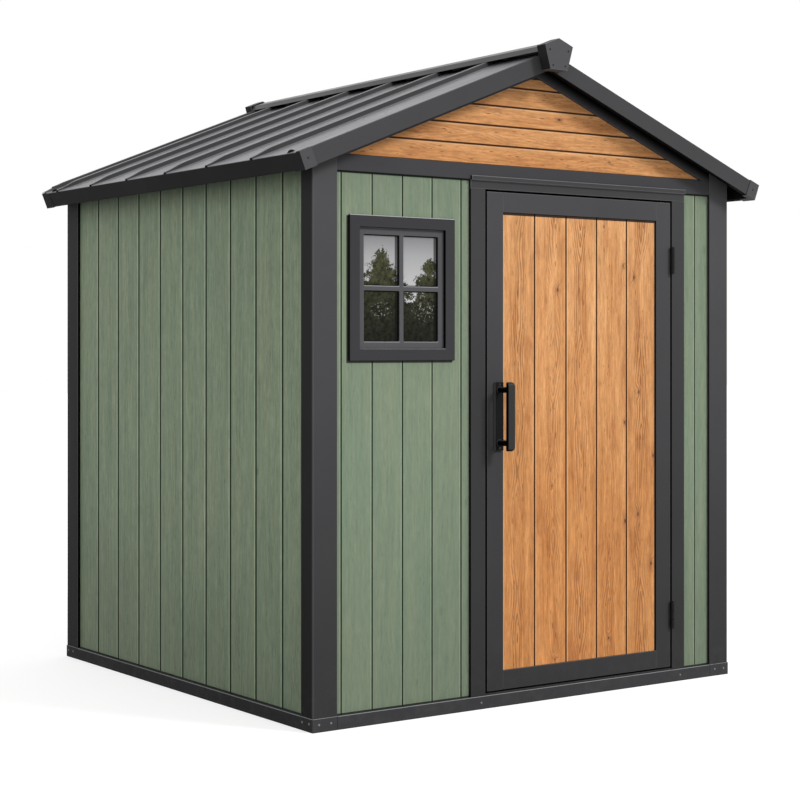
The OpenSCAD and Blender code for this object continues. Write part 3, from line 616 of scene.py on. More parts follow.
def coated_steel(name, colour, rough=0.5, specular=0.05, lift=0.06, dust=0.04,
                 dust_height=0.35, low=1.0, high=1.0, sideways=1.0, below=1.0, above=1.0,
                 ahead=1.0, under_roof_shade=None, sunk=()):
    """Satin powder-coated steel with a slight peel and an uneven tone. Low and high are the
    tone at the ground and at wall height: a painted shade that deepens towards the ground
    and painted light towards wall height. Faces that are turned sideways, down, up or
    ahead, to -Y, take a painted tone by their turn: a share under 1 paints shade on them
    and a share over 1 paints a highlight, and gloss is dimmed with the shade. The painted
    shade under the roof, as (near, far, dark, light), changes the tone between two depths
    straight below the roof line, from the dark tone at the near depth to the light one at
    the far depth. Sunk holds (x, z, radius) places of screws that lie flush in the front
    and back faces, the same left and right."""
    made, g, end, place, normal = material(name)
    coat = g.group(COAT, {"Vector": place, "Grain": COAT_GRAIN, "Patch": 2.6,
                          "Dust Height": dust_height})
    tone = g.evenly(coat["Tone"], 0.3, 0.7, 1 - lift, 1 + lift)
    # Painted shade low down and painted light at wall height.
    if low != high:
        tone = g.product(tone, g.evenly(g.split(place)[2], 0.0, TALL, low, high))
    # Painted shade under the roof line.
    if under_roof_shade is not None:
        wide, _, tall = g.split(place)
        fallen = g.times_plus(g.size(wide), math.tan(ROOF_PITCH), tall)
        tone = g.product(tone, g.between(g.less(APEX_Z, fallen), *under_roof_shade))
    # Painted tone by the way a face is turned: shade for shares under 1, a highlight for shares
    # over 1.
    turn_x, turn_y, turn_z = g.split(normal)
    painted_facing_tone = [g.between(*where, 1.0, share) for where, share in (
        ((g.size(turn_x), 0.55, 0.95), sideways), ((turn_z, -0.3, -0.8), below),
        ((turn_z, 0.25, 0.4), above), ((turn_y, -0.4, -0.8), ahead)) if share != 1.0]
    if painted_facing_tone:
        painted_facing_tone = g.product(*painted_facing_tone)
        tone = g.product(tone, painted_facing_tone)
        specular = g.math("MINIMUM", g.product(painted_facing_tone, specular), specular)
    shade = g.stained(g.toned((*colour, 1), tone), (coat["Dust"], dust, (0.30, 0.28, 0.25)))
    for x, z, radius in sunk:
        wide, _, tall = g.split(place)
        away = away_from(g, g.size(wide), tall, (x, z), (radius, radius))
        face = g.math("GREATER_THAN", g.size(g.split(normal)[1]), 0.9)
        shade = g.stained(shade, (g.between(away, 1.0, 0.7), face, (0.012, 0.012, 0.014)))
    gloss = g.evenly(coat["Gloss"], 0.3, 0.7, rough - 0.05, rough + 0.07)
    principled(g, end, shade, gloss, specular, g.bump(coat["Height"], PEEL, 0.35))
    return made


def rib_paint():
    """The roof's coat, with painted shade by the folds. Rise is the height over the slope:
    |x| * sin + (z - apex) * cos of the pitch. Pans are pale, the leaning sides of the ribs
    are painted deep as shade, the crests a little deeper, a thin painted shadow line
    follows the back edge of each crest, and faces turned down are painted dark as shade."""
    made, g, end, place, normal = material("roof_coat")
    coat = g.group(COAT, {"Vector": place, "Grain": COAT_GRAIN, "Patch": 2.6})
    x, y, z = g.split(place)
    rise = g.times_plus(g.less(z, APEX_Z), float(OUT[2]), g.product(g.size(x), float(OUT[0])))
    share = g.ratio(g.less(y, ROOF_FRONT - RIB_PITCH / 2), RIB_PITCH)
    beside = g.product(g.less(g.math("FRACT", share), 0.5), RIB_PITCH)
    # Painted shade on the ribs' leaning sides and a painted shadow line behind each crest.
    flank_shade = g.product(g.between(rise, 0.6 * MM, 3.0 * MM),
                      g.between(rise, RIB_H - 0.6 * MM, RIB_H - 2.2 * MM))
    crest = g.between(rise, RIB_H - 2.2 * MM, RIB_H - 0.8 * MM)
    back = g.product(crest, g.between(beside, RIB_TOP / 2 - 8 * MM, RIB_TOP / 2 - 6 * MM))
    deep = g.most(flank_shade, back)
    # The tone carries the painted shade of the folds and of the faces turned down.
    tone = g.evenly(coat["Tone"], 0.3, 0.7, 0.92, 1.08)
    tone = g.product(tone, g.evenly(deep, 0.0, 1.0, 1.0, 0.15),
                     g.evenly(crest, 0.0, 1.0, 1.0, 0.82),
                     g.between(g.split(normal)[2], -0.3, -0.8, 1.0, 0.2))
    colour = g.toned((0.140, 0.141, 0.152, 1), tone)
    gloss = g.evenly(coat["Gloss"], 0.3, 0.7, 0.26, 0.38)
    principled(g, end, colour, gloss, 0.26, g.bump(coat["Height"], PEEL, 0.35))
    return made


def window_pane(low, high, bar):
    """Glass with a painted reflection of a dull garden, fixed to the pane: a pale sky over dark
    olive trees. A fir stands at the left: its half width grows with the depth below its
    tip, and steps in again at each tier of twigs. A hedge with one dip and two clumps of
    leaves stand at the right, and a noise pushes every edge about into leaves. Each light
    has a painted dark line at its right, the reflection of the bar beside it in the glass."""
    made, g, end, place, _ = material("window_pane")
    x, _, z = g.split(place)
    push = g.scaled(g.node("TexNoise", {"Vector": place, "Scale": 52.0, "Detail": 4.0,
                                        "Roughness": 0.80}).outputs["Color"],
                    0.090, 0, 0.090, (-0.045, 0, -0.045))
    u, _, v = g.split(g.vector("ADD", place, push))
    wide, tall = high[0] - low[0], high[2] - low[2]

    def spot(right, up):
        return low[0] + right * wide, low[2] + up * tall

    deep = g.less(high[2] - 0.11 * tall, v)
    tier = g.math("FRACT", g.ratio(deep, TIER))
    reach = g.product(deep, g.times_plus(tier, 0.52, 0.46))
    aside = g.size(g.less(u, spot(0.245, 0)[0]))
    leaves = g.between(g.less(reach, aside), -0.002, 0.002)
    dip = away_from(g, u, v, spot(0.63, 0.43), (0.030, 1e3))
    (left, top), (right, foot) = spot(0.45, 0.56), spot(0.53, 0.48)
    hedge = g.between(u, left, right, top, foot)
    hedge = g.less(hedge, g.between(dip, 1.2, 0.4, 0.0, 0.042))
    leaves = g.most(leaves, g.between(g.less(hedge, v), -0.002, 0.002))
    for centre, half in (((0.87, 0.56), (0.056, 0.026)), ((0.91, 0.70), (0.034, 0.030))):
        away = away_from(g, u, v, spot(*centre), half)
        leaves = g.most(leaves, g.between(away, 1.05, 0.95))
    sky = g.ramp(g.evenly(z, high[2], low[2] + 0.45 * tall),
                 [(0.0, (0.255, 0.255, 0.262)), (0.35, (0.410, 0.410, 0.418)),
                  (1.0, (0.590, 0.590, 0.596))])
    dark = g.ramp(g.evenly(z, low[2], low[2] + 0.72 * tall),
                  [(0.0, (0.010, 0.010, 0.006)), (0.45, (0.018, 0.019, 0.010)),
                   (1.0, (0.050, 0.052, 0.024))])
    mottle = g.noise(place, 60.0, 4.0, 0.75)
    dark = g.toned(dark, g.evenly(mottle, 0.36, 0.64, 0.30, 1.80))
    dots = g.between(g.noise(place, 88.0, 3.0, 0.75), 0.575, 0.61)
    for centre, half in (((0.25, 0.30), (0.050, 0.032)), ((0.82, 0.32), (0.050, 0.054))):
        near = g.between(away_from(g, u, z, spot(*centre), half), 1.2, 0.6)
        dark = g.stained(dark, (g.product(dots, near), 0.85, (0.33, 0.34, 0.29)))
    colour = g.blend(leaves, sky, dark)
    # A painted dark line at each light's right: the reflection of the bar beside it.
    middle = (low[0] + high[0]) / 2
    left_light = g.math("LESS_THAN", x, middle)
    gap = g.less(g.between(left_light, 0.0, 1.0, high[0], middle - bar / 2), x)
    colour = g.toned(colour, g.between(gap, 0.0145, 0.0158, 0.24, 1.0))
    colour = g.toned(colour, g.between(gap, 0.0040, 0.0048, 0.04, 1.0))
    principled(g, end, colour, 0.06, 0.10)
    return made


barge_front, barge_back = edges("barge_front_left"), edges("barge_back_left")
ROOF_FRONT, ROOF_BACK = barge_front[0][1], barge_back[1][1]
roof_box = edges("roof_right")
DOWN = np.array([math.cos(ROOF_PITCH), 0, -math.sin(ROOF_PITCH)])
OUT = np.array([math.sin(ROOF_PITCH), 0, math.cos(ROOF_PITCH)])
# The sheet's rib tops at its upper edge are its highest points
APEX_Z = roof_box[1][2] - (RIDGE_GAP * DOWN + RIB_H * OUT)[2]
SLOPE_L = (roof_box[1][0] - RIB_H * OUT[0]) / DOWN[0]

left_wall, front_wall = edges("wall_left"), edges("wall_front_left")
door_panel = edges("door_boards")
gable = edges("gable_front")
pane = edges("window_glass")
BAR = 18 * MM             # width of the glazing bars

# The front walls, with the window casing's painted shadow.
PANEL_FRONT = green_panel(
    "panel_green_front", "X", first=front_wall[0][0] + FRONT_FIRST, width=FRONT_BOARD, seed=1.0,
    box=front_wall, lit=-1, seam=3.2 * MM, rim=(4.6 * MM, 0.34), figure=1.5, lift=1.035, low=0.81,
    shade=0.94, blue=0.172, under=edges("window_casing"))
# The side walls are the front's green painted lighter and less blue, as painted light, with a
# deeper painted shade under the eave and towards the ground.
PANEL_SIDE = green_panel(
    "panel_green_side", "Y", first=left_wall[1][1] - SIDE_FIRST, width=SIDE_BOARD, seed=5.0,
    box=left_wall, lit=1, seam=6.4 * MM, rim=(8.4 * MM, 0.52), figure=2.9, lift=1.10, low=0.72,
    shade=0.66, blue=0.163)
# Pale gives the two heights of each print's painted shade.
TIMBER_DOOR = timber_board(
    "timber_door", "X", first=door_panel[0][0],
    width=(door_panel[1][0] - door_panel[0][0]) / DOOR_BOARDS, seed=11.0, box=door_panel, lit=1,
    rings=0.85, pale=(2.0, 0.7))
TIMBER_GABLE = timber_board(
    "timber_gable", "Z", first=gable[0][2], width=GABLE_BOARD, seed=17.0, box=gable, lit=-1,
    rings=0.30, pale=(2.9, 1.6))
# The charcoal coats below paint light and shade into their colour: low and high paint a shade
# that deepens towards the ground and light towards wall height; sideways, below and ahead paint
# shade on the faces turned that way, and above paints a highlight on faces turned up.
POST_COAT = coated_steel("post_coat", (0.060, 0.060, 0.063), low=0.60, high=1.40, sideways=0.38)
# The back posts' faces turned ahead show in the walls' reveals and are painted dark as shade.
BACK_POST_COAT = coated_steel("back_post_coat", (0.060, 0.060, 0.063), low=0.60, high=1.40,
                              sideways=0.50, ahead=0.06)
FRAME_COAT = coated_steel("door_frame_coat", (0.047, 0.047, 0.049), low=0.72, high=1.28,
                          sideways=0.10)
LEAF_COAT = coated_steel("door_leaf_coat", (0.056, 0.056, 0.059), low=0.66, high=1.34,
                         sideways=0.12, below=0.3)
BASE_COAT = coated_steel("base_coat", (0.046, 0.046, 0.049), sideways=0.55, dust=0.06)
# The base's rounded edges, with a painted highlight on those turned up.
BASE_EDGE_HIGHLIGHT = coated_steel("base_edge_coat", (0.050, 0.050, 0.053), above=4.8)
HEADER_COAT = coated_steel("header_coat", (0.060, 0.060, 0.064), sideways=0.35, below=0.4)
# Painted shade under the verge, with a painted highlight at the trim's lower edge.
TRIM_COAT = coated_steel("gable_trim_coat", (0.060, 0.060, 0.064), specular=0.02,
                         under_roof_shade=(42 * MM, 90 * MM, 0.06, 1.4))
WINDOW_COAT = coated_steel("window_frame_coat", (0.048, 0.048, 0.052), sideways=0.10, below=0.10)
# The casing's rounded edges: painted shade where they turn aside or down, a painted highlight
# where they turn up.
CASING_EDGE_HIGHLIGHT = coated_steel("casing_edge_coat", (0.048, 0.048, 0.052), sideways=0.2, below=0.15,
                           above=9.0)
# The sash is a paler grey than the casing: painted light.
SASH_COAT = coated_steel("window_sash_coat", (0.094, 0.094, 0.101), rough=0.45, specular=0.08,
                         sideways=0.12, below=0.12)
# The sash's rounded edges, with a painted highlight on those turned up.
SASH_EDGE_HIGHLIGHT = coated_steel("sash_edge_coat", (0.110, 0.110, 0.116), rough=0.42, specular=0.20,
                         below=0.2, above=2.6)
VERGE_COAT = coated_steel("verge_coat", (0.064, 0.064, 0.067), sideways=0.34, below=0.12)
END_FOOT = edges("ridge_ends")[0][2]
END_SCREW = 4.5 * MM      # radius of the flush screws in the boxed ridge ends
CAP_COAT = coated_steel("ridge_end_coat", (0.084, 0.084, 0.089), rough=0.48, specular=0.08,
                        sideways=0.30, sunk=((29 * MM, END_FOOT + 15 * MM, END_SCREW),
                                             (44 * MM, END_FOOT + 72 * MM, END_SCREW)))
CORNER_COAT = coated_steel("corner_cap_coat", (0.078, 0.078, 0.082), rough=0.48, specular=0.08,
                           sideways=0.23)
RIDGE_COAT = coated_steel("ridge_cap_coat", (0.060, 0.060, 0.064), rough=0.34, specular=0.40,
                          lift=0.05, dust=0.0, below=0.25)
# A pale finish for rounded edges: a painted highlight.
EDGE_HIGHLIGHT = coated_steel("edge_coat", (0.140, 0.140, 0.146), rough=0.42, specular=0.20)
# A paler finish for the rounded edges of posts and door rails: a painted highlight.
RIM_HIGHLIGHT = coated_steel("rim_coat", (0.085, 0.085, 0.088), rough=0.45, specular=0.12, low=0.7,
                        high=1.3)
ROOF_COAT = rib_paint()
HINGE_STEEL = coated_steel("hinge_steel", (0.016, 0.016, 0.017), rough=0.42, specular=0.10,
                           dust=0.0)
BLACK_STEEL = coated_steel("black_fittings", (0.034, 0.035, 0.034), rough=0.42, specular=0.10,
                           dust=0.0, sideways=0.08, below=0.2)
# The plate's front face is painted dark as the grip's shadow.
PLATE_STEEL = coated_steel("handle_plate", (0.080, 0.082, 0.080), rough=0.42, specular=0.10,
                           dust=0.0, ahead=0.17)
SCREW_STEEL = coated_steel("screw_heads", (0.016, 0.016, 0.018), rough=0.35, specular=0.30,
                           dust=0.0)
# Pale steel heads, pale also as a painted glint.
BRIGHT_STEEL = coated_steel("bright_screw_heads", (0.20, 0.20, 0.205), rough=0.35, specular=0.30,
                            dust=0.0)
FLOOR_COAT = coated_steel("floor_coat", (0.115, 0.112, 0.108), rough=0.6, specular=0.3,
                          dust=0.35, dust_height=0.6)
RUBBER = coated_steel("glazing_rubber", (0.006, 0.006, 0.006), rough=0.6, dust=0.0)
PANE = window_pane(*pane, BAR)


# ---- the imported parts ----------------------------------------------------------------


def dress(node, finish, fold, segments=2, edge=None):
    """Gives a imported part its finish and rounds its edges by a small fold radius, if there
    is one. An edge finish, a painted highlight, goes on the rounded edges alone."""
    part = frame["nodes"][node]
    part.data.materials.clear()
    part.data.materials.append(finish)
    join = part.modifiers.new("join", "WELD")
    join.merge_threshold = 0.02 * MM
    if not fold:
        return
    soft = part.modifiers.new("fold", "BEVEL")
    soft.width = fold
    soft.segments = segments
    soft.limit_method = "ANGLE"
    soft.angle_limit = math.radians(20)
    soft.miter_outer = "MITER_ARC"
    if edge is not None:
        part.data.materials.append(edge)
        soft.material = 1


# Finish, fold in mm, finish of the folds (a lighter coat as a painted highlight on the
# rounded edges), and the parts that have them
FINISHES = (
    (PANEL_FRONT, 0.9, None, "wall_front_left wall_front_right wall_back"),
    (PANEL_SIDE, 0.9, None, "wall_left wall_right"),
    (TIMBER_DOOR, 0.9, None, "door_boards"),
    (TIMBER_GABLE, 0.9, None, "gable_front gable_back"),
    (BASE_COAT, 2.2, BASE_EDGE_HIGHLIGHT,
     "base_rail_front base_rail_back base_rail_left base_rail_right base_corners"),
    (POST_COAT, 1.8, RIM_HIGHLIGHT, "post_front_left post_front_right"),
    (BACK_POST_COAT, 1.8, RIM_HIGHLIGHT, "post_back_left post_back_right"),
    (HEADER_COAT, 1.8, None, "header_front header_back side_plates ridge_beam"),
    (TRIM_COAT, 1.8, None, "gable_trim_front gable_trim_back"),
    (FRAME_COAT, 1.8, None, "door_jambs door_sill"),
    (FRAME_COAT, 1.8, EDGE_HIGHLIGHT, "door_head"),
    (LEAF_COAT, 1.8, RIM_HIGHLIGHT, "door_stiles door_rails"),
    (WINDOW_COAT, 2.6, CASING_EDGE_HIGHLIGHT, "window_casing"),
    (SASH_COAT, 2.4, SASH_EDGE_HIGHLIGHT, "window_sash"),
    (VERGE_COAT, 1.8, None,
     "barge_front_left barge_front_right barge_back_left barge_back_right"),
    (VERGE_COAT, 1.5, None, "eave_fascias"),
    (CAP_COAT, 1.2, EDGE_HIGHLIGHT, "ridge_ends"),
    (CORNER_COAT, 0, None, "eave_corner_caps"),
    (FLOOR_COAT, 1.0, None, "floor_panel"),
    (BASE_COAT, 1.0, None, "floor_bearers"),
)
for finish, fold, edge, nodes in FINISHES:
    for node in nodes.split():
        dress(node, finish, fold * MM, edge=edge)
dress("window_glass", PANE, 0.3 * MM, 1)


# ---- roof sheets and ridge -----------------------------------------------------------

FOLD = 4 * MM             # round of the sheet's folds
PRESSED = 110 * MM        # length over which the ribs run out above the eave
RUN_OUT = 0.62            # share of their height and width that they lose there


def rib_line():
    """The sheet's upper line: flat pans and straight-sided ribs, then the upstand that is
    folded over the back bargeboard."""
    lean = math.atan2(RIB_H, (RIB_FOOT - RIB_TOP) / 2)
    verge_top = ROOF_BACK - BARGE - FIT - SHEET * math.tan(lean / 2)
    middle = ROOF_FRONT + RIB_PITCH * np.arange(1, RIB_COUNT + 1)
    rib = np.array([[-RIB_FOOT / 2, 0], [-RIB_TOP / 2, RIB_H], [RIB_TOP / 2, RIB_H],
                    [RIB_FOOT / 2, 0]])
    ribs = (rib[None] + np.stack([middle, 0 * middle], 1)[:, None]).reshape(-1, 2)
    line = np.vstack([[[ROOF_FRONT + BARGE + FIT, 0]], ribs,
                      [[verge_top - (RIB_FOOT - RIB_TOP) / 2, 0], [verge_top, RIB_H],
                       [ROOF_BACK, RIB_H]]])
    return rounded(line, FOLD, 5, closed=False)


def roof_sheet(side):
    """A folded sheet on one slope. Point (u, v) = apex + v * down the slope + rise(u) *
    size(v) * outwards + (centre + (u - centre) * size(v)) * Y, where rise is the rib line
    and centre the middle of the rib. Size is 1 until the last stretch, where the ribs run
    down and in towards the eave by a cosine ease."""
    flip = np.array([side, 1, 1])
    down, out = DOWN * flip, OUT * flip
    start = SLOPE_L - PRESSED
    run = np.concatenate([np.linspace(RIDGE_GAP, start, 9), np.linspace(start, SLOPE_L, 9)[1:]])
    ease = (1 - np.cos(math.pi * np.clip((run - start) / PRESSED, 0, 1))) / 2
    size = (1 - RUN_OUT * ease)[:, None]
    middle = ROOF_FRONT + RIB_PITCH * np.arange(1, RIB_COUNT + 1)
    line = rib_line()
    under = offset_line(line, -SHEET)

    def spread(flat):
        rise = np.where(flat[:, 1] > 0, flat[:, 1] * size, flat[:, 1])
        centre = middle[np.abs(flat[:, :1] - middle).argmin(1)]
        aside = flat[:, 0] - centre
        aside = np.where(np.abs(aside) < 0.6 * RIB_FOOT, aside * size, aside)
        return (np.array([0, 0, APEX_Z]) + run[:, None, None] * down
                + rise[:, :, None] * out + (centre + aside)[:, :, None] * np.array([0, 1, 0]))

    points, faces = sheet_shell(spread(line), spread(under))
    return points, faces if side < 0 else [face[::-1] for face in faces]


for side, name in ((-1, "left"), (1, "right")):
    sheet = piece("roof_sheet_" + name, *roof_sheet(side), SHED, "roof_sheet", ROOF_COAT)
    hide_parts("roof_" + name)


def ridge_capping(low, high):
    """The ridge cap: one folded line of two wings and two leaning sides, carried along the
    ridge. The under line is the same line moved in by the sheet's thickness."""
    wing, fold_z = high[0], low[2] + RIDGE_SIDE
    line = np.array([[-wing, low[2]], [RIDGE_LEAN - wing, fold_z], [0, high[2]],
                     [wing - RIDGE_LEAN, fold_z], [wing, low[2]]])
    line = rounded(line, (3 * MM, 12 * MM, 3 * MM), 6, closed=False)
    under = offset_line(line, -SHEET)
    under[[0, -1], 1] = low[2]
    run = np.linspace(low[1], high[1], 7)

    def spread(flat):
        return np.stack(np.broadcast_arrays(flat[None, :, 0], run[:, None], flat[None, :, 1]), 2)

    points, faces = sheet_shell(spread(line), spread(under))
    return points, [face[::-1] for face in faces]


ridge = piece("ridge_capping", *ridge_capping(*edges("ridge_cap")), SHED, "roof_sheet",
              RIDGE_COAT, 20)
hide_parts("ridge_cap")


# ---- handle --------------------------------------------------------------------------

handle = edges("door_handle")
HANDLE_X = (handle[0][0] + handle[1][0]) / 2
HANDLE_Z = (handle[0][2] + handle[1][2]) / 2
HANDLE_L = handle[1][2] - handle[0][2]
PLATE_W, PLATE_T = 38 * MM, 10 * MM
PLATE_CORNER, PLATE_CHAMFER = 4 * MM, 2 * MM
GRIP_W, GRIP_T, POST_D, POST_IN = 32 * MM, 16 * MM, 22 * MM, 29 * MM
GRIP_CORNER = 8 * MM      # seen from the front
GRIP_EDGE = 2.5 * MM      # round of the grip's long edges
GRIP_BEND = 14 * MM       # round of its front corners, seen from the side


def plate_shell(width, height, corner, thickness, chamfer, back_y):
    """A plate with rounded corners: its outline is carried forward, and drawn in evenly
    over the last part to leave a chamfer round its face."""
    square = rectangle(-width / 2, -height / 2, width / 2, height / 2)
    rows = []
    for inset, depth in ((0, 0), (0, thickness - chamfer),
                         (chamfer * 0.3, thickness - chamfer * 0.3), (chamfer, thickness)):
        outline = rounded(square * (1 - 2 * inset / np.array([width, height])),
                          corner - inset * 0.8, 6)
        rows.append(np.stack([HANDLE_X + outline[:, 0], np.full(len(outline), back_y - depth),
                              HANDLE_Z + outline[:, 1]], 1))
    return closed_rings(rows)


def drop(distance, radius):
    """How far a round of the given radius falls away at a distance inside its edge: radius -
    sqrt(radius^2 - (radius - distance)^2), and nothing further in."""
    short = np.clip(radius - distance, 0, radius)
    return radius - np.sqrt(radius ** 2 - short ** 2)


def grip_shell(front_y):
    """The grip bar. Its side view is an outline with round front corners. Station x across
    the width shortens it by the round of the front view's corners, and draws its front and
    back in by the round of the long edges."""
    x = GRIP_W / 2 * np.sin(math.pi / 2 * np.linspace(-1, 1, 25))
    half = HANDLE_L / 2
    a = np.linspace(0, math.pi / 2, 12)
    arc_y, arc_z = GRIP_BEND * np.sin(a), GRIP_BEND * (1 - np.cos(a))
    # from the back at the top, round the front corner, down, and round to the back again
    curve = GRIP_T - GRIP_BEND + arc_y
    depth = np.concatenate([[0], curve, curve[::-1], [0]])
    height = np.concatenate([[half], half - arc_z, -(half - arc_z[::-1]), [-half]])
    inside = (GRIP_W / 2 - np.abs(x))[:, None]
    edge = drop(inside, GRIP_EDGE)
    short = drop(inside, GRIP_CORNER)
    d = np.clip(depth[None], edge, GRIP_T - edge)
    z = height[None] * (1 - short / half)
    return closed_rings(np.stack([HANDLE_X + np.broadcast_to(x[:, None], d.shape),
                                  front_y + GRIP_T - d, HANDLE_Z + z], 2))


grip_front = handle[0][1]
plate_back = handle[1][1]
post_run = plate_back - PLATE_T - grip_front - GRIP_T
post_profile = [(0, 0), (POST_D / 2 + 2.5 * MM, 0), (POST_D / 2 + 0.8 * MM, 1.2 * MM),
                (POST_D / 2, 4 * MM), (POST_D / 2, post_run), (0, post_run)]
piece("handle_plate", *plate_shell(PLATE_W, HANDLE_L, PLATE_CORNER, PLATE_T, PLATE_CHAMFER,
                                   plate_back), DOOR, "black_steel", PLATE_STEEL, 28)
shells = [grip_shell(grip_front)]
for end in (-1, 1):
    foot = (HANDLE_X, plate_back - PLATE_T, HANDLE_Z + end * (HANDLE_L / 2 - POST_IN))
    shells.append(turned(post_profile, foot, (0, -1, 0), (1, 0, 0), 32))
pull = piece("pull_handle", *merged(shells), DOOR, "black_steel", BLACK_STEEL, 28)
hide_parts("door_handle")


# ---- hinges --------------------------------------------------------------------------

frame_hinge, jamb_box = edges("hinge_frame_side"), edges("door_jambs")
HINGE_D, HINGE_L, HINGE_OUT = 16 * MM, 106 * MM, 10 * MM
PIN_D = 7 * MM
CROWN, PIN_CROWN = 1.2 * MM, 0.6 * MM
FLAP, FLAP_IN = 2.2 * MM, 40 * MM
FLAP_ASIDE = 4 * MM       # from the axis to a flap's outer face
STRIP_NEAR, STRIP_FAR = 8.5 * MM, 13 * MM      # sides of the pale edge strip, a painted highlight beside the knuckles, from the axis
STRIP_PROUD, STRIP_SUNK = 2 * MM, 3 * MM       # its reach before and behind the jamb's face
KNUCKLE_GAP = 1 * MM
HINGE_AXIS = np.array(frame["joints"][0]["pos_m"])
KNUCKLE = (HINGE_L - 2 * KNUCKLE_GAP) / 3


def barrel(z0, z1, radius, crown):
    """A knuckle: a cylinder whose ends are eased by a small quarter round. With a from 0 to
    90 degrees, the foot's radius is r - crown + crown * sin a at a height of crown - crown *
    cos a, and the top's is r - crown + crown * cos a at top - crown + crown * sin a."""
    a = np.linspace(0, math.pi / 2, 5)
    low = np.stack([radius - crown + crown * np.sin(a), crown - crown * np.cos(a)], 1)
    high = np.stack([radius - crown + crown * np.cos(a), z1 - z0 - crown + crown * np.sin(a)], 1)
    profile = np.vstack([[[0, 0]], low, high, [[0, z1 - z0]]])
    return turned(profile, (HINGE_AXIS[0], HINGE_AXIS[1], z0), (0, 0, 1), (1, 0, 0), 32)


def flap_shell(x0, x1, y0, y1, z0, z1, corner=0.5 * MM):
    """A flap: its rounded plan is carried straight up."""
    plan = rounded(rectangle(x0, y0, x1, y1), corner, 3)
    return closed_rings([np.column_stack([plan, np.full(len(plan), z)]) for z in (z0, z1)])


frame_shells, door_shells, highlight_strip_shells = [], [], []
axis_x, axis_y = HINGE_AXIS[:2]
flap_back = axis_y + HINGE_OUT + FLAP_IN
for low in (frame_hinge[0][2], frame_hinge[1][2] - HINGE_L):
    for step in (0, 2):
        z = low + step * (KNUCKLE + KNUCKLE_GAP)
        frame_shells.append(barrel(z, z + KNUCKLE, HINGE_D / 2, CROWN))
        frame_shells.append(flap_shell(axis_x + FLAP_ASIDE - FLAP, axis_x + FLAP_ASIDE, axis_y,
                                       flap_back, z, z + KNUCKLE))
    frame_shells.append(barrel(low, low + HINGE_L, PIN_D / 2, PIN_CROWN))
    highlight_strip_shells.append(flap_shell(axis_x + STRIP_NEAR, axis_x + STRIP_FAR,
                                   jamb_box[0][1] - STRIP_PROUD, jamb_box[0][1] + STRIP_SUNK,
                                   low, low + HINGE_L, 0.8 * MM))
    z = low + KNUCKLE + KNUCKLE_GAP
    door_shells.append(barrel(z, z + KNUCKLE, HINGE_D / 2, CROWN))
    door_shells.append(flap_shell(axis_x - FLAP_ASIDE, axis_x - FLAP_ASIDE + FLAP, axis_y,
                                  flap_back, z, z + KNUCKLE))
fixed_hinges = piece("hinge_knuckles_frame", *merged(frame_shells), SHED, "black_steel",
                     HINGE_STEEL, 40)
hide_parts("hinge_frame_side")
moving_hinges = piece("hinge_knuckles_door", *merged(door_shells), DOOR, "black_steel",
                      HINGE_STEEL, 40)
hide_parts("hinge_door_side")
# Pale strips beside the frame's knuckles: a painted highlight of the barrels, not a part of the
# hinge.
piece("hinge_edge_strips", *merged(highlight_strip_shells), SHED, "dark_frame", EDGE_HIGHLIGHT, 40)


# ---- screws --------------------------------------------------------------------------

SEAT = 0.5 * MM           # depth of a head's foot in what it holds
CAP_SCREW_UP, CAP_SCREW_LOW = 24 * MM, 30 * MM # from the eave's edge, and below the sheet
BOLT_UP, BOLT_IN = 20 * MM, 84 * MM            # from the eave's edge and from the verge
SILL_LEFT, SILL_RIGHT = 46 * MM, 26 * MM       # in from the doorway's outer sides
HANDLE_END = 10 * MM      # from a plate's end to its screw


def screw(centre, axis, side, radius=4.2 * MM, tall=1.4 * MM):
    """A low pan head with a round socket: a profile of shares of its radius and height,
    turned about the screw's axis. Its foot is set a little into what it holds."""
    profile = np.array([(0, 0), (1, 0), (1, 0.35), (0.86, 0.8), (0.62, 1), (0.42, 1),
                        (0.34, 0.35), (0, 0.3)]) * (radius, tall)
    profile[:2, 1] = -SEAT
    return turned(profile, centre, axis, side, 14)


def bolt_cap(centre, axis, side, radius=15 * MM, tall=8 * MM):
    """A domed cap over a bolt: a washer rim under a quarter ellipse, radius 0.72 * cos a at
    height 0.25 + 0.75 * sin a, as shares of its own radius and height."""
    a = np.linspace(0, math.pi / 2, 6)[:-1]
    dome = np.stack([0.72 * np.cos(a), 0.25 + 0.75 * np.sin(a)], 1)
    profile = np.vstack([[(0, 0), (1, 0), (1, 0.16), (0.8, 0.25)], dome, [(0, 1)]])
    profile = profile * (radius, tall)
    profile[:2, 1] = -SEAT
    return turned(profile, centre, axis, side, 20)


def fasteners(name, places, body, slot="dark_frame", shape=screw, finish=SCREW_STEEL):
    """One piece of screws or bolt caps at (centre, axis, side) places."""
    shells = [shape(*place) for place in places]
    return piece(name, *merged(shells), body, slot, finish, 50)


def on_slope(side, s, y, lift):
    """A point on a slope: s down it from the ridge line, lift square to it."""
    return (np.array([0, 0, APEX_Z]) + s * DOWN + lift * OUT) * (side, 1, 1) + (0, y, 0)


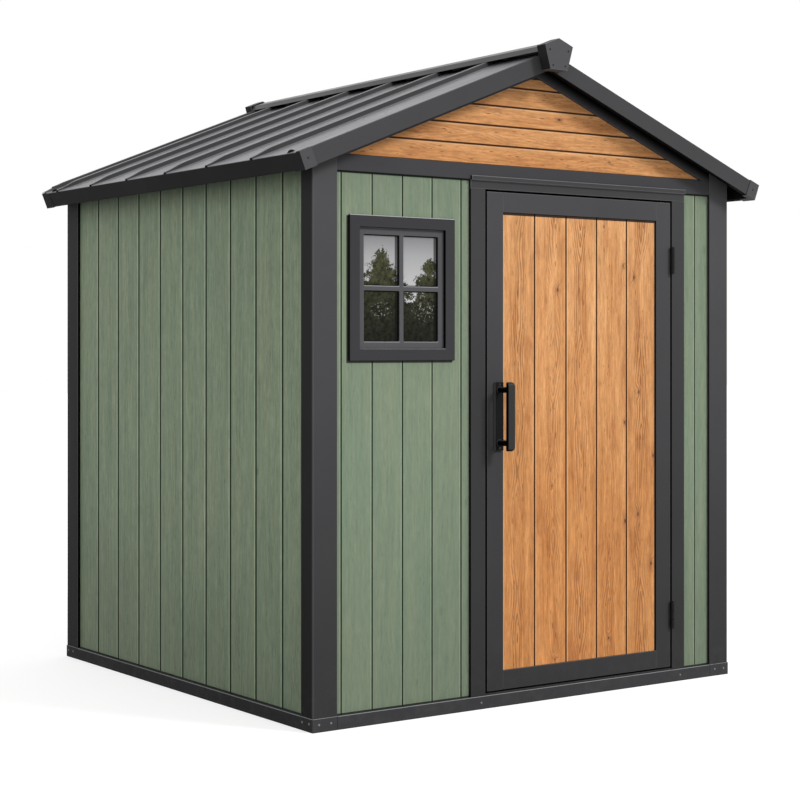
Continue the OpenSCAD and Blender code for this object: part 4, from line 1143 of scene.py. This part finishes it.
base, post = edges("base_corners"), edges("post_front_left")
BASE_H = base[1][2]
front_y, base_back_y, base_x = base[0][1], base[1][1], base[1][0]
corner_w = post[1][0] - base[0][0]
SIDE_SCREWS = (22 * MM, 66 * MM)               # from a corner, along the side rails
places = []
for sx in (-1, 1):
    for sy, y in ((-1, front_y), (1, base_back_y)):
        # shares of the corner block's width and of the base's height
        for inset, z in ((0.26, 0.55), (0.74, 0.57)):
            places.append(((sx * (base_x - corner_w * inset), y, BASE_H * z), (0, sy, 0),
                           (1, 0, 0)))
        for run in SIDE_SCREWS:
            places.append(((sx * base_x, y - sy * run, BASE_H * 0.6), (sx, 0, 0), (0, 1, 0)))
for x in (jamb_box[0][0] + SILL_LEFT, jamb_box[1][0] - SILL_RIGHT):
    places.append(((x, front_y, BASE_H * 0.5), (0, -1, 0), (1, 0, 0)))
fasteners("base_screws", places, SHED, finish=BRIGHT_STEEL)

caps = edges("eave_corner_caps")
places = [(on_slope(side, SLOPE_L - CAP_SCREW_UP, y, -CAP_SCREW_LOW), (0, sy, 0), (1, 0, 0))
          for side in (-1, 1) for y, sy in ((caps[0][1], -1), (caps[1][1], 1))]
fasteners("eave_cap_screws", places, SHED)
places = [(on_slope(side, SLOPE_L - BOLT_UP, y, 0), OUT * (side, 1, 1), (0, 1, 0))
          for side in (-1, 1) for y in (ROOF_FRONT + BOLT_IN, ROOF_BACK - BOLT_IN)]
fasteners("eave_bolt_caps", places, SHED, shape=bolt_cap, finish=RUBBER)

places = [((HANDLE_X, plate_back - PLATE_T, HANDLE_Z + end * (HANDLE_L / 2 - HANDLE_END)),
           (0, -1, 0), (1, 0, 0)) for end in (-1, 1)]
fasteners("handle_screws", places, DOOR, "black_steel")


# ---- glazing beads -------------------------------------------------------------------

BEAD = 3 * MM             # width of a bead


def bead_ring(x0, x1, z0, z1, face_y, width):
    """A bead round one light: a five-point profile, each point set in from the opening and
    out from the glass, whose rectangles are joined ring to ring and back to the first."""
    profile = np.array([[0, 0], [0, 3.2], [width / MM * 0.5, 2.6], [width / MM, 0.8],
                        [width / MM, 0]]) * MM
    inset, rise = profile[:, 0], profile[:, 1]
    left, right, low, high = x0 + inset, x1 - inset, z0 + inset, z1 - inset
    corners = np.stack([np.stack([x, face_y - rise, z], 1) for x, z in (
        (left, low), (right, low), (right, high), (left, high))], 1)
    rows = np.vstack([corners, corners[:1]])
    index = np.array(grid_faces(len(rows), 4, ring=True)) % (len(profile) * 4)
    return corners.reshape(-1, 3), index.tolist()


middle_x, middle_z = (pane[0][0] + pane[1][0]) / 2, (pane[0][2] + pane[1][2]) / 2
lights = [(x0, x1, z0, z1)
          for x0, x1 in ((pane[0][0], middle_x - BAR / 2), (middle_x + BAR / 2, pane[1][0]))
          for z0, z1 in ((pane[0][2], middle_z - BAR / 2), (middle_z + BAR / 2, pane[1][2]))]
piece("glazing_beads", *merged([bead_ring(*light, pane[0][1], BEAD) for light in lights]),
      SHED, "black_steel", RUBBER, 30)


# ---- floor, light and camera ---------------------------------------------------------

WORLD_LIGHT = 0.80        # of the white surround, on the shed
FLOOR_HALF = 45.0         # half the floor's side
FLOOR_TONE = 0.42         # to the light that it sends the shed
FLOOR_SEEN = 0.60         # to the eye
FLOOR_GLOW = 0.61         # the light of its own that the eye sees in it
SUN_FROM = (0.55, -0.80, 0.62)
SUN_LIGHT = 1.70
SUN_WIDTH = 14            # in degrees, which softens its shadows
CAMERA_AT = (-4.3828, -6.2521, 1.3134)
CAMERA_TURN = 35.41       # in degrees, from straight back to the right
LENS, SENSOR = 82.316, 36
LENS_SHIFT = -0.0625      # takes the frame down, while the camera looks level


def seen_directly(g):
    """1 for rays from the camera and for those that gloss or glass sends on, 0 for the rest."""
    path = g.node("LightPath").outputs
    seen = g.math("ADD", path["Is Camera Ray"], path["Is Glossy Ray"], clamp=True)
    return g.math("ADD", seen, path["Is Transmission Ray"], clamp=True)


def studio_floor():
    """A wide floor, pale to the eye and to gloss, where it gives a little light of its own so
    that it meets the white background and keeps a soft shadow. It sends the shed the light
    of plain paving."""
    made, g, end, _, _ = material("studio_floor")
    seen = seen_directly(g)
    tone = g.evenly(seen, 0.0, 1.0, FLOOR_TONE, FLOOR_SEEN)
    diffuse = g.node("BsdfDiffuse", {"Color": g.joined(tone, tone, tone)})
    glow = g.node("Emission", {"Color": (1, 1, 1, 1), "Strength": g.product(seen, FLOOR_GLOW)})
    both = g.node("AddShader", {0: diffuse.outputs[0], 1: glow.outputs[0]})
    g.feed(end.inputs["Surface"], both.outputs[0])
    corners = rectangle(-FLOOR_HALF, -FLOOR_HALF, FLOOR_HALF, FLOOR_HALF)
    mesh = bpy.data.meshes.new("studio_floor")
    mesh.from_pydata(np.pad(corners, ((0, 0), (0, 1))).tolist(), [], [(0, 1, 2, 3)])
    mesh.materials.append(made)
    ground = bpy.data.objects.new("studio_floor", mesh)
    bpy.context.scene.collection.objects.link(ground)


def studio_world(level):
    """A plain white surround. Cameras, gloss and glass see it at full white, and it lights
    the shed at the given level."""
    world = bpy.data.worlds.new("studio")
    world.use_nodes = True
    world.node_tree.nodes.clear()
    g = Graph(world.node_tree)
    strength = g.evenly(seen_directly(g), 0.0, 1.0, level, 1.0)
    sky = g.node("Background", {"Color": (1, 1, 1, 1), "Strength": strength})
    end = g.node("OutputWorld")
    g.feed(end.inputs["Surface"], sky.outputs[0])
    bpy.context.scene.world = world


def sun(name, towards, strength, angle):
    """A distant soft lamp that shines from the given direction."""
    data = bpy.data.lights.new(name, "SUN")
    data.energy = strength
    data.angle = math.radians(angle)
    lamp = bpy.data.objects.new(name, data)
    bpy.context.scene.collection.objects.link(lamp)
    x, y, z = towards
    lamp.rotation_euler = (math.acos(z / math.sqrt(x * x + y * y + z * z)), 0,
                           math.atan2(x, -y))


studio_floor()
studio_world(WORLD_LIGHT)
sun("key", SUN_FROM, SUN_LIGHT, SUN_WIDTH)

lens = bpy.data.cameras.new("camera")
lens.sensor_width = SENSOR
lens.lens = LENS
lens.shift_y = LENS_SHIFT
camera = bpy.data.objects.new("camera", lens)
bpy.context.scene.collection.objects.link(camera)
camera.location = CAMERA_AT
camera.rotation_euler = (math.radians(90), 0, math.radians(-CAMERA_TURN))
bpy.context.scene.camera = camera
bpy.context.scene.view_settings.view_transform = "Standard"
